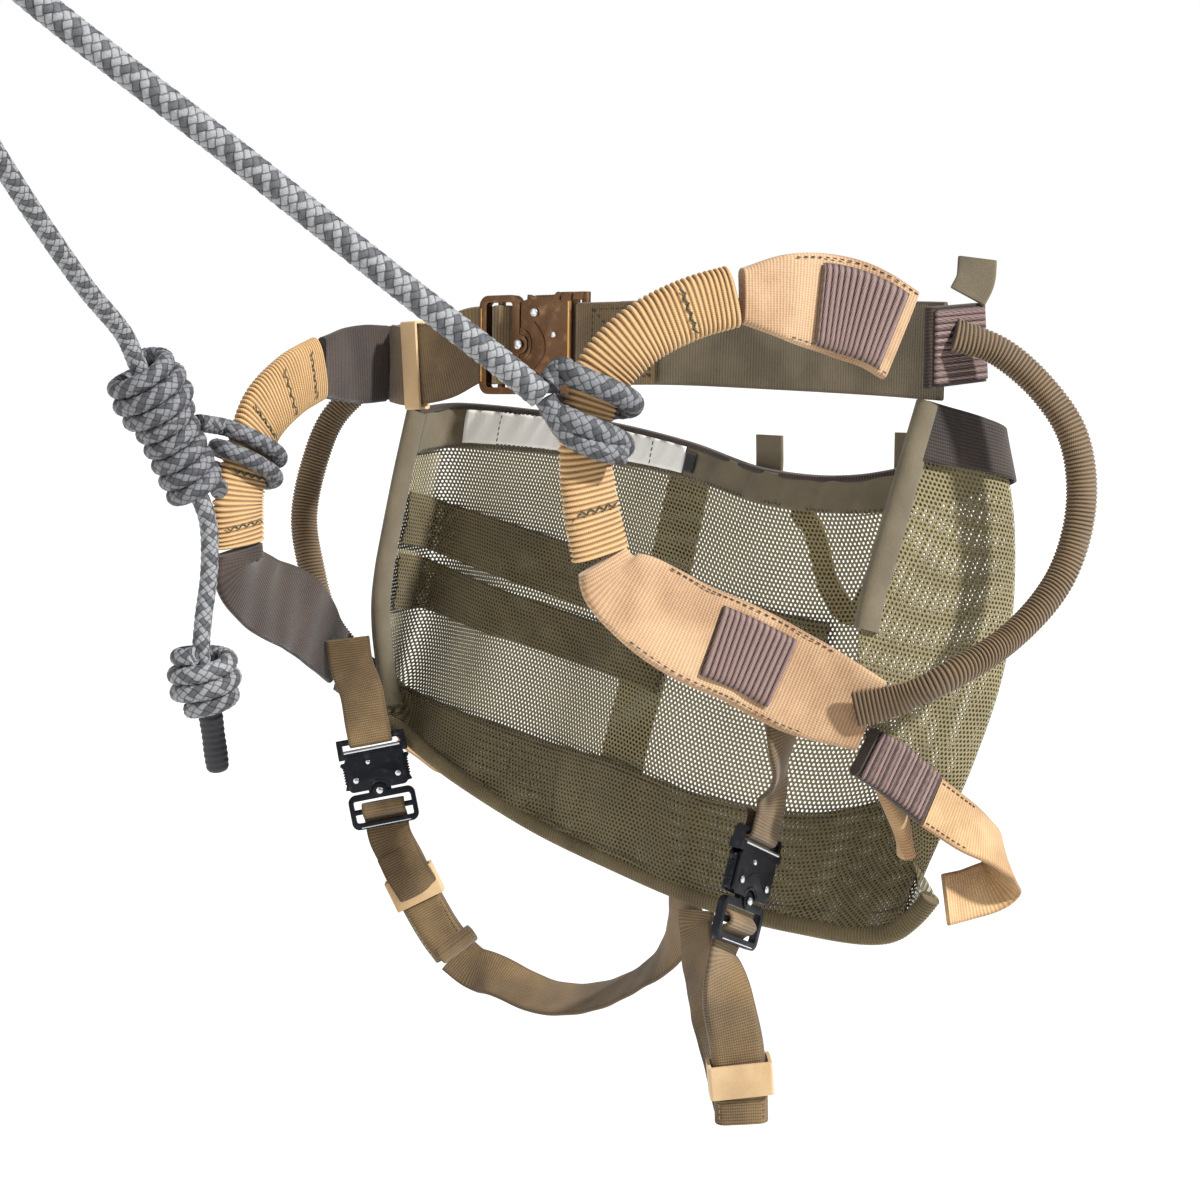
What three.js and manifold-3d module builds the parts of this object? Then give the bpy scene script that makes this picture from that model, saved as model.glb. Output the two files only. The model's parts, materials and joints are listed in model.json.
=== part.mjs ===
// A tree-climbing saddle, held up by its rope bridge: mesh seat, waist belt, bridge loops, linesman loops and
// leg straps, with metal quick-release buckles. Millimetres, +Z up, +X to the wearer's left, -Y to the
// wearer's front. The object's origin is where the hook hangs, at the inside of its crown.
import * as THREE from "three";
import { mergeVertices } from "three/addons/utils/BufferGeometryUtils.js";
import Module from "manifold-3d";

const wasm = await Module();
wasm.setup();

// ---------- driving dimensions ----------
const GAP = 0.4; // clearance between touching pieces
const WIDE_WEBBING = 45;
const LEG_WEBBING = 25;
const WEBBING_THICKNESS = 2.4;
const DOUBLE_WEBBING = 4.4;
const PANEL_THICKNESS = 3;
const BAND_THICKNESS = 1.6;
const BINDING_DIAMETER = 9;
const ROPE_DIAMETER = 10;
const EYE_DIAMETER = 9.5;
const HITCH_CORD = 8.6;
const SLEEVE_THICKNESS = 9;
const HOOK_BAR = 12;
const HOOK_LENGTH = 104; // between the centres of the crown and the bow
const HOOK_WIDTH = 56;
const HOOK_GATE_DIAMETER = 10;
const BIGHT_RADIUS = 20; // of the rope's middle line where it turns over the hook
const BUCKLE_WEBBING = 45; // the webbing that a buckle of scale 1 is drawn for
const WAIST_BUCKLE = WIDE_WEBBING / BUCKLE_WEBBING; // scales of the two sizes of buckle
const LEG_BUCKLE = 0.72;

// Where the middle of the saddle lies from the hook's crown, and the line that the rope pulls along.
const SADDLE = new THREE.Vector3(0, 458, -381);
const PULL = new THREE.Vector3(0, -0.75, 0.66).normalize();

// ---------- finishes ----------
const finish = (color, roughness, metalness = 0) => ({ color, roughness, metalness });
const TAN = finish(0xc2a074, 0.85);
const RIBBED_TAN = finish(0xc79f66, 0.8);
const COYOTE = finish(0x6e5a3c, 0.85);
const OLIVE = finish(0x77694a, 0.9);
const MESH = finish(0x8c7f50, 0.9);
const DARK = finish(0x3a2c1e, 0.9);
const BRONZE = finish(0x8a5a34, 0.35, 0.9);
const BLACK_METAL = finish(0x15161a, 0.35, 0.8);
const STEEL = finish(0xb9bcc2, 0.3, 1);
const ROPE = finish(0x5b5c60, 0.8);
const WHITE = finish(0xf1f0ec, 0.6);
const RUBBER = finish(0x1b1c20, 0.6);

const HALF_WIDE = WIDE_WEBBING / 2;

const root = new THREE.Group();
const saddle = new THREE.Group();
saddle.position.copy(SADDLE);
root.add(saddle);

const vector = (point) => (point.isVector3 ? point.clone() : new THREE.Vector3(...point));

function addMesh(group, name, geometry, look) {
  const mesh = new THREE.Mesh(geometry, new THREE.MeshStandardMaterial(look));
  mesh.name = name;
  group.add(mesh);
  return mesh;
}

// ---------- solids ----------
function toSolid(geometry) {
  const bare = geometry.clone();
  bare.deleteAttribute("normal");
  bare.deleteAttribute("uv");
  const merged = mergeVertices(bare, 1e-3);
  return new wasm.Manifold(
    new wasm.Mesh({
      numProp: 3,
      vertProperties: merged.attributes.position.array,
      triVerts: new Uint32Array(merged.index.array),
    }),
  );
}

function toGeometry(solid) {
  const mesh = solid.getMesh();
  return new THREE.BufferGeometry()
    .setAttribute("position", new THREE.BufferAttribute(mesh.vertProperties, 3))
    .setIndex(new THREE.BufferAttribute(mesh.triVerts, 1));
}

const join = (...geometries) =>
  toGeometry(geometries.map(toSolid).reduce((sum, solid) => sum.add(solid)));

const cut = (geometry, ...tools) =>
  toGeometry(tools.map(toSolid).reduce((rest, tool) => rest.subtract(tool), toSolid(geometry)));

// Closes a row of rings, each a loop of points, into one body. A ring's end is a fan of triangles; when
// strips is given, the ring is two faces of a sheet, that many quads wide, and its end is a row of quads.
function closeRings(rings, strips = 0) {
  const count = rings[0].length;
  const positions = rings.flat().flatMap((point) => point.toArray());
  const faces = [];
  for (let i = 0; i + 1 < rings.length; i++) {
    for (let j = 0; j < count; j++) {
      const a = i * count + j;
      const b = i * count + ((j + 1) % count);
      // Both faces of a sheet are split along the same diagonal.
      if (strips && j > strips) faces.push(a, a + count, b, b, a + count, b + count);
      else faces.push(a, b + count, b, a, a + count, b + count);
    }
  }
  const last = (rings.length - 1) * count;
  const cap = [];
  for (let j = 1; j + 1 < count && !strips; j++) cap.push([0, j, j + 1]);
  for (let j = 0; j < strips; j++) {
    const opposite = count - 1 - j;
    cap.push([j, j + 1, opposite - 1], [j, opposite - 1, opposite]);
  }
  for (const [a, b, c] of cap) faces.push(a, b, c, last + a, last + c, last + b);
  const geometry = new THREE.BufferGeometry();
  geometry.setAttribute("position", new THREE.Float32BufferAttribute(positions, 3));
  geometry.setIndex(faces);
  return geometry;
}

// Sections as unit outlines: the first number runs across the strap, the second through it.
const FLAT = [
  [-1, -1],
  [1, -1],
  [1, 1],
  [-1, 1],
];
const ROUND = Array.from({ length: 8 }, (_, i) => {
  const turn = (i / 8) * 2 * Math.PI;
  return [Math.cos(turn), Math.sin(turn)];
});

// A station says where a strap's middle line runs, which way the strap faces, its width and its thickness.
const station = (at, face, width, thick = WEBBING_THICKNESS) => ({
  at: vector(at),
  face: vector(face).normalize(),
  width,
  thick,
});

function sweep(stations, section = FLAT, perSpan = 3) {
  const curve = new THREE.CatmullRomCurve3(
    stations.map((s) => s.at),
    false,
    "centripetal",
  );
  const steps = (stations.length - 1) * perSpan;
  const rings = [];
  for (let i = 0; i <= steps; i++) {
    const place = (i / steps) * (stations.length - 1);
    const from = Math.min(Math.floor(place), stations.length - 2);
    const share = place - from;
    const a = stations[from];
    const b = stations[from + 1];
    const middle = curve.getPoint(i / steps);
    const along = curve.getTangent(i / steps);
    const face = a.face.clone().lerp(b.face, share);
    const side = new THREE.Vector3().crossVectors(along, face).normalize();
    const normal = new THREE.Vector3().crossVectors(side, along).normalize();
    const width = THREE.MathUtils.lerp(a.width, b.width, share) / 2;
    const thick = THREE.MathUtils.lerp(a.thick, b.thick, share) / 2;
    rings.push(
      section.map(([across, through]) =>
        middle
          .clone()
          .addScaledVector(side, across * width)
          .addScaledVector(normal, through * thick),
      ),
    );
  }
  return closeRings(rings);
}

// A round cord along points, as an extrusion.
function cordTube(points, diameter, steps, sides = 8) {
  const outline = new THREE.Shape();
  outline.setFromPoints(
    Array.from({ length: sides }, (_, i) => {
      const turn = (i / sides) * 2 * Math.PI;
      return new THREE.Vector2(Math.cos(turn), Math.sin(turn)).multiplyScalar(diameter / 2);
    }),
  );
  const path = new THREE.CatmullRomCurve3(points.map(vector), false, "centripetal");
  return new THREE.ExtrudeGeometry(outline, { steps, extrudePath: path, bevelEnabled: false });
}

// ---------- seat ----------
// The seat's outer face as five rows of points, from the top edge down to the hem, each from the far
// side (the wearer's right) to the near side (the wearer's left).
const SEAT_ROWS = [
  [
    [-182, 17, 92], [-186, 52, 94], [-122, 71, 90], [-60, 72, 85], [0, 70, 77],
    [60, 68, 66], [122, 72, 68], [192, 80, 92], [186, 28, 108],
  ],
  [
    [-182, 2, 40], [-190, 46, 42], [-122, 56, 42], [-60, 60, 42], [0, 58, 40],
    [60, 62, 32], [122, 72, 30], [197, 88, 45], [186, 6, 58],
  ],
  [
    [-182, -11, -20], [-190, 34, -20], [-122, 32, -22], [-60, 38, -24], [0, 37, -25],
    [60, 46, -32], [122, 60, -36], [197, 86, -10], [186, -15, 0],
  ],
  [
    [-181, -7, -70], [-184, 14, -74], [-118, 12, -80], [-60, 16, -86], [0, 14, -88],
    [60, 24, -98], [122, 44, -98], [193, 66, -65], [184, -2, -58],
  ],
  [
    [-174, -8, -90], [-158, -5, -99], [-112, -3, -115], [-60, 6, -133], [-4, 12, -144],
    [55, 18, -153], [110, 27, -157], [164, 40, -154], [186, 46, -128],
  ],
];
const seatRows = SEAT_ROWS.map(
  (row) => new THREE.CatmullRomCurve3(row.map(vector), false, "centripetal"),
);

// A point of the seat's outer face: across runs 0 to 1 from far to near, down runs 0 to 1 from top to hem.
function seatPoint(across, down) {
  const column = new THREE.CatmullRomCurve3(
    seatRows.map((row) => row.getPoint(THREE.MathUtils.clamp(across, 0, 1))),
    false,
    "centripetal",
  );
  return column.getPoint(THREE.MathUtils.clamp(down, 0, 1));
}

// The unit vector at a point, square to the seat and towards the wearer.
function seatNormal(across, down) {
  const d = 0.004;
  const u = seatPoint(Math.min(across + d, 1), down).sub(seatPoint(Math.max(across - d, 0), down));
  const v = seatPoint(across, Math.min(down + d, 1)).sub(seatPoint(across, Math.max(down - d, 0)));
  return new THREE.Vector3().crossVectors(u, v).normalize().negate();
}

// A sheet that follows the seat: place gives (across, down) for 0 to 1 along it and 0 to 1 over its height,
// and inner and outer are its two faces' distances towards the wearer.
function seatSheet(place, inner, outer, columns, rows) {
  const rings = [];
  for (let i = 0; i <= columns; i++) {
    const front = [];
    const back = [];
    for (let j = 0; j <= rows; j++) {
      const [across, down] = place(i / columns, j / rows);
      const point = seatPoint(across, down);
      const normal = seatNormal(across, down);
      front.push(point.clone().addScaledVector(normal, inner));
      back.unshift(point.clone().addScaledVector(normal, outer));
    }
    rings.push([...front, ...back]);
  }
  return closeRings(rings, rows);
}

const mix = (a, b, share) => a + (b - a) * share;

// A parabola through three values at 0, a half and 1.
const bow = ([start, middle, end], share) =>
  start * (1 - share) * (1 - 2 * share) + middle * 4 * share * (1 - share) + end * share * (2 * share - 1);
const level = (down) => [down, down, down];

// The seat panel's grid. Every band keeps to its columns, so that the faces of both run side by side. A
// band's top and bottom edges are given by how far down they lie at its far end, its middle and its near end.
const COLUMNS = 32;
const ROWS = 8;
function addBand(name, firstColumn, lastColumn, top, bottom, rows, inner, thick, look) {
  const place = (i, j) => {
    const across = mix(firstColumn, lastColumn, i) / COLUMNS;
    return [across, mix(bow(top, i), bow(bottom, i), j)];
  };
  const sheet = seatSheet(place, inner, inner + thick, lastColumn - firstColumn, rows);
  addMesh(saddle, name, sheet, look);
}
const BAND_GAP = 0.8;
const BAND_INNER = PANEL_THICKNESS + BAND_GAP;
const CROSS_INNER = BAND_INNER + 0.4; // a cross band spans the panel's rows, so it stands further off
const BEHIND_PANEL = -BAND_GAP - BAND_THICKNESS;
const LABEL_THICKNESS = 0.8;
const LABEL_INNER = BAND_INNER + BAND_THICKNESS + GAP;
const TOP = level(0);
const HEM = level(1);
addBand("seat_panel", 0, COLUMNS, TOP, HEM, ROWS, 0, PANEL_THICKNESS, MESH);
addBand("top_band", 1, 31, TOP, level(0.125), 1, BAND_INNER, BAND_THICKNESS, OLIVE);
addBand("hem_band", 1, 29, level(0.75), HEM, 2, BAND_INNER, BAND_THICKNESS, OLIVE);
const UPPER_TOP = [0.23, 0.35, 0.39];
const UPPER_BOTTOM = [0.36, 0.46, 0.5];
addBand("cross_band_upper", 1, 23, UPPER_TOP, UPPER_BOTTOM, 1, CROSS_INNER, BAND_THICKNESS, OLIVE);
const LOWER_TOP = [0.38, 0.46, 0.5];
const LOWER_BOTTOM = [0.52, 0.56, 0.6];
addBand("cross_band_lower", 1, 17, LOWER_TOP, LOWER_BOTTOM, 1, CROSS_INNER, BAND_THICKNESS, OLIVE);
addBand("spine_band", 15, 17, TOP, HEM, ROWS, BEHIND_PANEL, BAND_THICKNESS, OLIVE);
addBand("sewn_label", 5, 16, level(0.014), level(0.11), 1, LABEL_INNER, LABEL_THICKNESS, WHITE);

// Rolled bindings run along the two front edges of the seat, just clear of it.
function edgePath(across, top, bottom, count) {
  const side = across === 0 ? 1 : -1;
  const d = 0.01;
  return Array.from({ length: count }, (_, i) => {
    const down = mix(top, bottom, i / (count - 1));
    const normal = seatNormal(across, down);
    const along = seatPoint(across, down + d).sub(seatPoint(across, down - d));
    const away = new THREE.Vector3().crossVectors(along, normal).normalize();
    return seatPoint(across, down)
      .addScaledVector(normal, PANEL_THICKNESS / 2)
      .addScaledVector(away, side * (BINDING_DIAMETER / 2 + GAP));
  });
}
addMesh(saddle, "edge_binding_near", cordTube(edgePath(1, 0.02, 0.46, 7), BINDING_DIAMETER, 18), OLIVE);
addMesh(saddle, "edge_binding_far", cordTube(edgePath(0, 0.02, 0.88, 9), BINDING_DIAMETER, 20), OLIVE);
addMesh(saddle, "hem_edge_strap_near", cordTube(edgePath(1, 0.76, 0.9, 5), BINDING_DIAMETER, 8), TAN);

// ---------- corners: stacks of sewn webbing that the loops and the belt end against ----------
const OUT_NEAR = [1, 0, 0];
const OUT_FAR = [-1, 0, 0];
const STACK = 6;
addMesh(
  saddle,
  "corner_stack_near_top",
  sweep([station([191, 42, 151], OUT_NEAR, 40, STACK), station([191, 44, 115], OUT_NEAR, 44, STACK)]),
  DARK,
);
addMesh(
  saddle,
  "corner_stack_far_top",
  sweep([station([-191, 26, 142], OUT_FAR, 44, STACK), station([-191, 30, 100], OUT_FAR, 44, STACK)]),
  DARK,
);
addMesh(
  saddle,
  "corner_stack_near_low",
  sweep(
    [
      station([189.3, -14, -48], [0.96, -0.28, 0], 24, STACK),
      station([191.5, 4, -59], [0.98, -0.1, 0], 25, STACK),
      station([195, 26, -76], [1, 0.05, 0], 25, STACK),
    ],
    FLAT,
    2,
  ),
  COYOTE,
);
addMesh(
  saddle,
  "corner_stack_far_low",
  sweep(
    [
      station([-193.4, -24, -57], [-0.96, -0.28, 0], 30, STACK),
      station([-194.6, -6, -70], [-0.98, -0.1, 0], 30, STACK),
      station([-194, 12, -85], [-1, 0.05, 0], 28, STACK),
    ],
    FLAT,
    2,
  ),
  COYOTE,
);

// ---------- bridge loops ----------
const FACE_NEAR = [0.98, -0.2, 0.05];
const FACE_FAR = [-0.98, -0.2, 0.05];
addMesh(
  saddle,
  "bridge_strap_near_upper",
  sweep([
    station([184.5, 12, 137.5], FACE_NEAR, 44, DOUBLE_WEBBING),
    station([180, -1, 144.5], FACE_NEAR, WIDE_WEBBING, DOUBLE_WEBBING),
    station([173, -16, 150], FACE_NEAR, WIDE_WEBBING, DOUBLE_WEBBING),
    station([166, -42, 154], FACE_NEAR, 38, DOUBLE_WEBBING),
    station([159, -65, 154.5], FACE_NEAR, 24, 6),
  ]),
  TAN,
);
addMesh(
  saddle,
  "bridge_sleeve_near",
  sweep(
    [
      station([157.8, -69, 154.3], FACE_NEAR, 25, SLEEVE_THICKNESS),
      station([151, -88, 149], FACE_NEAR, 25, SLEEVE_THICKNESS),
      station([142, -109, 138], FACE_NEAR, 25, SLEEVE_THICKNESS),
      station([134, -122, 123], FACE_NEAR, 25, SLEEVE_THICKNESS),
      station([131, -128, 108], FACE_NEAR, 23, SLEEVE_THICKNESS),
      station([130, -130, 92], FACE_NEAR, 23, SLEEVE_THICKNESS),
      station([130, -127, 68], FACE_NEAR, 25, SLEEVE_THICKNESS),
      station([131, -122, 45], FACE_NEAR, 26, SLEEVE_THICKNESS),
    ],
    ROUND,
    2,
  ),
  RIBBED_TAN,
);
const LOWER_FOOT = -26.75 - HALF_WIDE / 2; // wider webbing lies further forward, clear of the seat's edge
addMesh(
  saddle,
  "bridge_strap_near_lower",
  sweep([
    station([131.3, -120.8, 42], FACE_NEAR, 26, 6),
    station([133, -117, 34], FACE_NEAR, 32, DOUBLE_WEBBING),
    station([140, -107, 25], FACE_NEAR, 40, DOUBLE_WEBBING),
    station([150, -86, 10], FACE_NEAR, 44, DOUBLE_WEBBING),
    station([159, -62, -2], FACE_NEAR, WIDE_WEBBING, DOUBLE_WEBBING),
    station([172, LOWER_FOOT, -17], FACE_NEAR, WIDE_WEBBING, DOUBLE_WEBBING),
    station([193.5, -15, -31], [0.9, -0.42, 0], 34, DOUBLE_WEBBING),
  ]),
  TAN,
);
addMesh(
  saddle,
  "bridge_strap_far_upper",
  sweep([
    station([-187, 4, 119], FACE_FAR, 44, DOUBLE_WEBBING),
    station([-183, -14, 119], FACE_FAR, WIDE_WEBBING, DOUBLE_WEBBING),
    station([-177, -32, 119], FACE_FAR, 42, DOUBLE_WEBBING),
    station([-168, -54, 118], FACE_FAR, 34, 6),
  ]),
  COYOTE,
);
addMesh(
  saddle,
  "bridge_sleeve_far",
  sweep(
    [
      station([-166.5, -57.2, 117.7], FACE_FAR, 33, SLEEVE_THICKNESS),
      station([-150, -88, 109], FACE_FAR, 33, SLEEVE_THICKNESS),
      station([-138, -114, 94], FACE_FAR, 32, SLEEVE_THICKNESS),
      station([-131, -127, 77], FACE_FAR, 29, SLEEVE_THICKNESS),
      station([-131, -134, 52], FACE_FAR, 32, SLEEVE_THICKNESS),
      station([-134, -133, 28], FACE_FAR, 33, SLEEVE_THICKNESS),
    ],
    ROUND,
    2,
  ),
  RIBBED_TAN,
);
addMesh(
  saddle,
  "bridge_strap_far_lower",
  sweep([
    station([-134.5, -132.7, 25.6], FACE_FAR, 33, 6),
    station([-136.5, -131, 14], FACE_FAR, 36, DOUBLE_WEBBING),
    station([-151, -108, -2], FACE_FAR, 42, DOUBLE_WEBBING),
    station([-168, -72, -18], FACE_FAR, WIDE_WEBBING, DOUBLE_WEBBING),
    station([-191, -31, -50], [-0.92, -0.38, 0], 34, DOUBLE_WEBBING),
  ]),
  COYOTE,
);

// ---------- linesman loops and rear loops ----------
const LOOP = 16;
const LOOP_THICK = 11;
const flatEnd = (at, face) => station(at, face, LOOP, 5);
addMesh(
  saddle,
  "linesman_loop_near",
  sweep(
    [
      flatEnd([197.6, 34, 138], [0.9, 0, 0.3]),
      station([211, 50, 130], [0.8, 0, 0.6], LOOP, LOOP_THICK),
      station([226, 63, 113], [0.8, 0, 0.6], LOOP, LOOP_THICK),
      station([238, 70, 92], [1, 0, 0.3], LOOP, LOOP_THICK),
      station([242, 72, 62], OUT_NEAR, LOOP, LOOP_THICK),
      station([239, 63, 30], [1, 0, -0.3], LOOP, LOOP_THICK),
      station([232, 38, 5], [0.8, 0, -0.6], LOOP, LOOP_THICK),
      station([222, 2, -12], [0.8, 0, -0.6], LOOP, LOOP_THICK),
      station([207, -12, -22], [0.9, -0.2, -0.3], LOOP, 8),
      flatEnd([192.5, -25, -27], [0.9, -0.42, 0]),
    ],
    ROUND,
    2,
  ),
  COYOTE,
);
addMesh(
  saddle,
  "linesman_loop_far",
  sweep(
    [
      flatEnd([-197, 26, 122], [-0.9, 0, 0.3]),
      station([-212, 8, 106], [-0.8, 0, 0.6], LOOP, LOOP_THICK),
      station([-224, -8, 86], [-0.9, 0, 0.3], LOOP, LOOP_THICK),
      station([-230, -18, 58], OUT_FAR, LOOP, LOOP_THICK),
      station([-229, -26, 28], OUT_FAR, LOOP, LOOP_THICK),
      station([-220, -28, 0], [-1, 0, -0.3], LOOP, LOOP_THICK),
      station([-212, -24, -30], [-0.9, 0, -0.4], LOOP, LOOP_THICK),
      flatEnd([-201.2, -10, -56], [-0.98, 0, -0.2]),
    ],
    ROUND,
    2,
  ),
  COYOTE,
);

// The rear loops: single webbing from the low corner out to the back and round to the hem.
const rearLoop = (stations) => sweep(stations.map(([at, face]) => station(at, face, LEG_WEBBING)), FLAT, 4);
addMesh(
  saddle,
  "rear_loop_near",
  rearLoop([
    [[196, 27.2, -77], [1, 0, 0]],
    [[200, 46, -90], [1, 0.2, 0]],
    [[201.5, 66, -102], [1, 0.6, 0.2]],
    [[201, 80, -114], [0.3, 0.9, -0.4]],
    [[195, 83, -126], [-0.5, 0.5, -0.5]],
    [[190, 66, -130], [-1, 0.1, -0.2]],
    [[188.5, 50, -130], [-1, 0, -0.2]],
  ]),
  RIBBED_TAN,
);
addMesh(
  saddle,
  "rear_loop_far",
  rearLoop([
    [[-194.8, 13.4, -86.2], [-1, 0, 0]],
    [[-200, 34, -100], [-1, 0.2, 0]],
    [[-200, 50, -112], [-0.8, 0.6, 0.2]],
    [[-194, 57, -121], [-0.1, 0.9, -0.4]],
    [[-185, 44, -118], [0.9, 0.4, -0.4]],
    [[-180, 26, -106], [1, 0.1, -0.2]],
    [[-178, 10, -95], [1, 0, -0.2]],
  ]),
  RIBBED_TAN,
);

// ---------- tabs ----------
const TAB = 18;
addMesh(
  saddle,
  "gear_tab",
  sweep([
    station([191, 52, 155], [0.7, -0.7, 0], TAB),
    station([192, 56, 162], [0.7, -0.7, 0], TAB),
    station([190, 60, 172], [0.7, -0.7, 0], TAB),
  ]),
  OLIVE,
);
const TAB_BACK = -GAP - WEBBING_THICKNESS / 2 - 0.8;
function rearTab(across, rise) {
  const foot = seatPoint(across, 0.06).addScaledVector(seatNormal(across, 0.06), TAB_BACK);
  const edge = seatPoint(across, 0).addScaledVector(seatNormal(across, 0), TAB_BACK - 1);
  const tip = edge.clone().add(new THREE.Vector3(0, 0, rise));
  const face = seatNormal(across, 0.03);
  return sweep([station(foot, face, TAB), station(edge, face, TAB), station(tip, face, TAB)]);
}
addMesh(saddle, "rear_tab_centre", rearTab(0.61, 19), OLIVE);
addMesh(saddle, "rear_tab_side", rearTab(0.78, 17), OLIVE);

// ---------- quick-release buckles ----------
// Drawn for 45 mm webbing: x runs from the frame half to the socket half, y across the webbing, z forwards.
const FRAME = { left: -38, right: -10, half: 27, rim: 5, thick: 5, bar: 4.5, barAt: -24 };
const TONGUE = { end: 18, half: 9, thick: 4 };
const SOCKET = { left: -7.5, right: 19.5, half: 24, plate: 2, inner: 2.4 };
const END = { right: 26, barAt: 33, bar: 5, half: 27.5, armFrom: 23.4 };
const LEVER = { pivot: [2, 17], hole: 2.4, post: 2, thick: 4 };

function roundedRectangle(left, right, half, radius) {
  const shape = new THREE.Shape();
  shape.moveTo(left + radius, -half);
  shape.lineTo(right - radius, -half);
  shape.absarc(right - radius, -half + radius, radius, -Math.PI / 2, 0);
  shape.lineTo(right, half - radius);
  shape.absarc(right - radius, half - radius, radius, 0, Math.PI / 2);
  shape.lineTo(left + radius, half);
  shape.absarc(left + radius, half - radius, radius, Math.PI / 2, Math.PI);
  shape.lineTo(left, -half + radius);
  shape.absarc(left + radius, -half + radius, radius, Math.PI, 1.5 * Math.PI);
  return shape;
}

function plate(shape, from, to) {
  const geometry = new THREE.ExtrudeGeometry(shape, {
    depth: to - from,
    bevelEnabled: false,
    curveSegments: 3,
  });
  return geometry.translate(0, 0, from);
}

// A round bar across the webbing, or a round post through the plates.
const bar = (x, half, diameter, z = 0) =>
  new THREE.CylinderGeometry(diameter / 2, diameter / 2, 2 * half, 10).translate(x, 0, z);
const post = (x, y, diameter, from, to) =>
  new THREE.CylinderGeometry(diameter / 2, diameter / 2, to - from, 10)
    .rotateX(Math.PI / 2)
    .translate(x, y, (from + to) / 2);
const block = (x0, x1, y0, y1, z0, z1) =>
  new THREE.BoxGeometry(x1 - x0, y1 - y0, z1 - z0).translate((x0 + x1) / 2, (y0 + y1) / 2, (z0 + z1) / 2);

function frameHalf() {
  const ring = roundedRectangle(FRAME.left, FRAME.right, FRAME.half, 6);
  const windowHalf = FRAME.half - FRAME.rim + 1.2;
  const window = roundedRectangle(FRAME.left + FRAME.rim, FRAME.right - FRAME.rim, windowHalf, 2);
  ring.holes.push(new THREE.Path(window.getPoints(3)));
  const tongue = new THREE.Shape();
  tongue.moveTo(FRAME.right - 1, -TONGUE.half);
  tongue.lineTo(TONGUE.end - 4, -TONGUE.half);
  tongue.lineTo(TONGUE.end, -TONGUE.half + 4);
  tongue.lineTo(TONGUE.end, TONGUE.half - 4);
  tongue.lineTo(TONGUE.end - 4, TONGUE.half);
  tongue.lineTo(FRAME.right - 1, TONGUE.half);
  return join(
    plate(ring, -FRAME.thick / 2, FRAME.thick / 2),
    bar(FRAME.barAt, FRAME.half - 2, FRAME.bar),
    plate(tongue, -TONGUE.thick / 2, TONGUE.thick / 2),
    post(FRAME.right + 1, 0, 11, 0, 3.6),
    post(FRAME.right + 1, 0, 6, 0, 4.8),
  );
}

function socketHalf() {
  const face = roundedRectangle(SOCKET.left, SOCKET.right + 1, SOCKET.half, 4);
  const top = SOCKET.inner + SOCKET.plate;
  const lobe = post(FRAME.right + 1, 0, 14, 0, top + 1);
  const pivot = (side) => post(LEVER.pivot[0], side * LEVER.pivot[1], 2 * LEVER.post, -top - 0.8, top + 0.8);
  const body = join(
    plate(face, SOCKET.inner, top),
    plate(face, -top, -SOCKET.inner),
    block(SOCKET.right, END.right, -END.half, END.half, -top, top),
    block(END.right - 1, END.barAt, END.armFrom, END.half, -3, 3),
    block(END.right - 1, END.barAt, -END.half, -END.armFrom, -3, 3),
    bar(END.barAt, END.half, END.bar),
    pivot(-1),
    pivot(1),
  );
  return cut(body, lobe);
}

function lever(side) {
  const outline = [
    [-6, 20], [-5, 27], [-1, 25.6], [12, 25.6], [15, 28],
    [16.8, 27], [16.8, 20], [11, 15.5], [6, 13], [-2, 13],
  ];
  const shape = new THREE.Shape(outline.map(([x, y]) => new THREE.Vector2(x, side * y)));
  const arm = plate(shape, -LEVER.thick / 2, LEVER.thick / 2);
  return cut(arm, post(LEVER.pivot[0], side * LEVER.pivot[1], 2 * LEVER.hole, -3, 3));
}

// Places a buckle: its origin, the way from frame to socket, and the way that its front faces.
function buckleGroup(origin, along, facing, scale) {
  const x = vector(along).normalize();
  const z = vector(facing);
  z.addScaledVector(x, -z.dot(x)).normalize();
  const y = new THREE.Vector3().crossVectors(z, x);
  const group = new THREE.Group();
  group.applyMatrix4(new THREE.Matrix4().makeBasis(x, y, z).setPosition(vector(origin)));
  group.scale.setScalar(scale);
  group.updateMatrix();
  saddle.add(group);
  const place = (localX, localZ) => new THREE.Vector3(localX, 0, localZ).applyMatrix4(group.matrix);
  return { group, place, x, y, z, scale };
}

function addBuckle(name, buckle, look) {
  addMesh(buckle.group, `${name}_frame`, frameHalf(), look);
  addMesh(buckle.group, `${name}_socket`, socketHalf(), look);
  addMesh(buckle.group, `${name}_lever_upper`, lever(1), look);
  addMesh(buckle.group, `${name}_lever_lower`, lever(-1), look);
}

// Webbing that comes to the frame half from outside, passes behind its rim and over its bar.
const OVER_BAR = FRAME.bar / 2 + GAP + WEBBING_THICKNESS / 2 + 0.3;
const BEHIND_RIM = -FRAME.thick / 2 - GAP - WEBBING_THICKNESS / 2 - 0.5;
function frameWebbing(buckle, width) {
  const thick = WEBBING_THICKNESS * buckle.scale;
  const facing = buckle.z;
  const lean = buckle.z.clone().sub(buckle.x);
  const fall = buckle.z.clone().add(buckle.x);
  return [
    station(buckle.place(FRAME.left - 10, BEHIND_RIM), facing, width, thick),
    station(buckle.place(FRAME.left + 4, BEHIND_RIM), facing, width, thick),
    station(buckle.place(FRAME.barAt - 5.4, -1.6), lean, width, thick),
    station(buckle.place(FRAME.barAt - 3.8, 1.9), lean, width, thick),
    station(buckle.place(FRAME.barAt, OVER_BAR), facing, width, thick),
    station(buckle.place(FRAME.barAt + 4.6, 0), fall, width, thick),
    station(buckle.place(FRAME.barAt + 5.2, -3.4), fall, width, thick),
  ];
}

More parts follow.
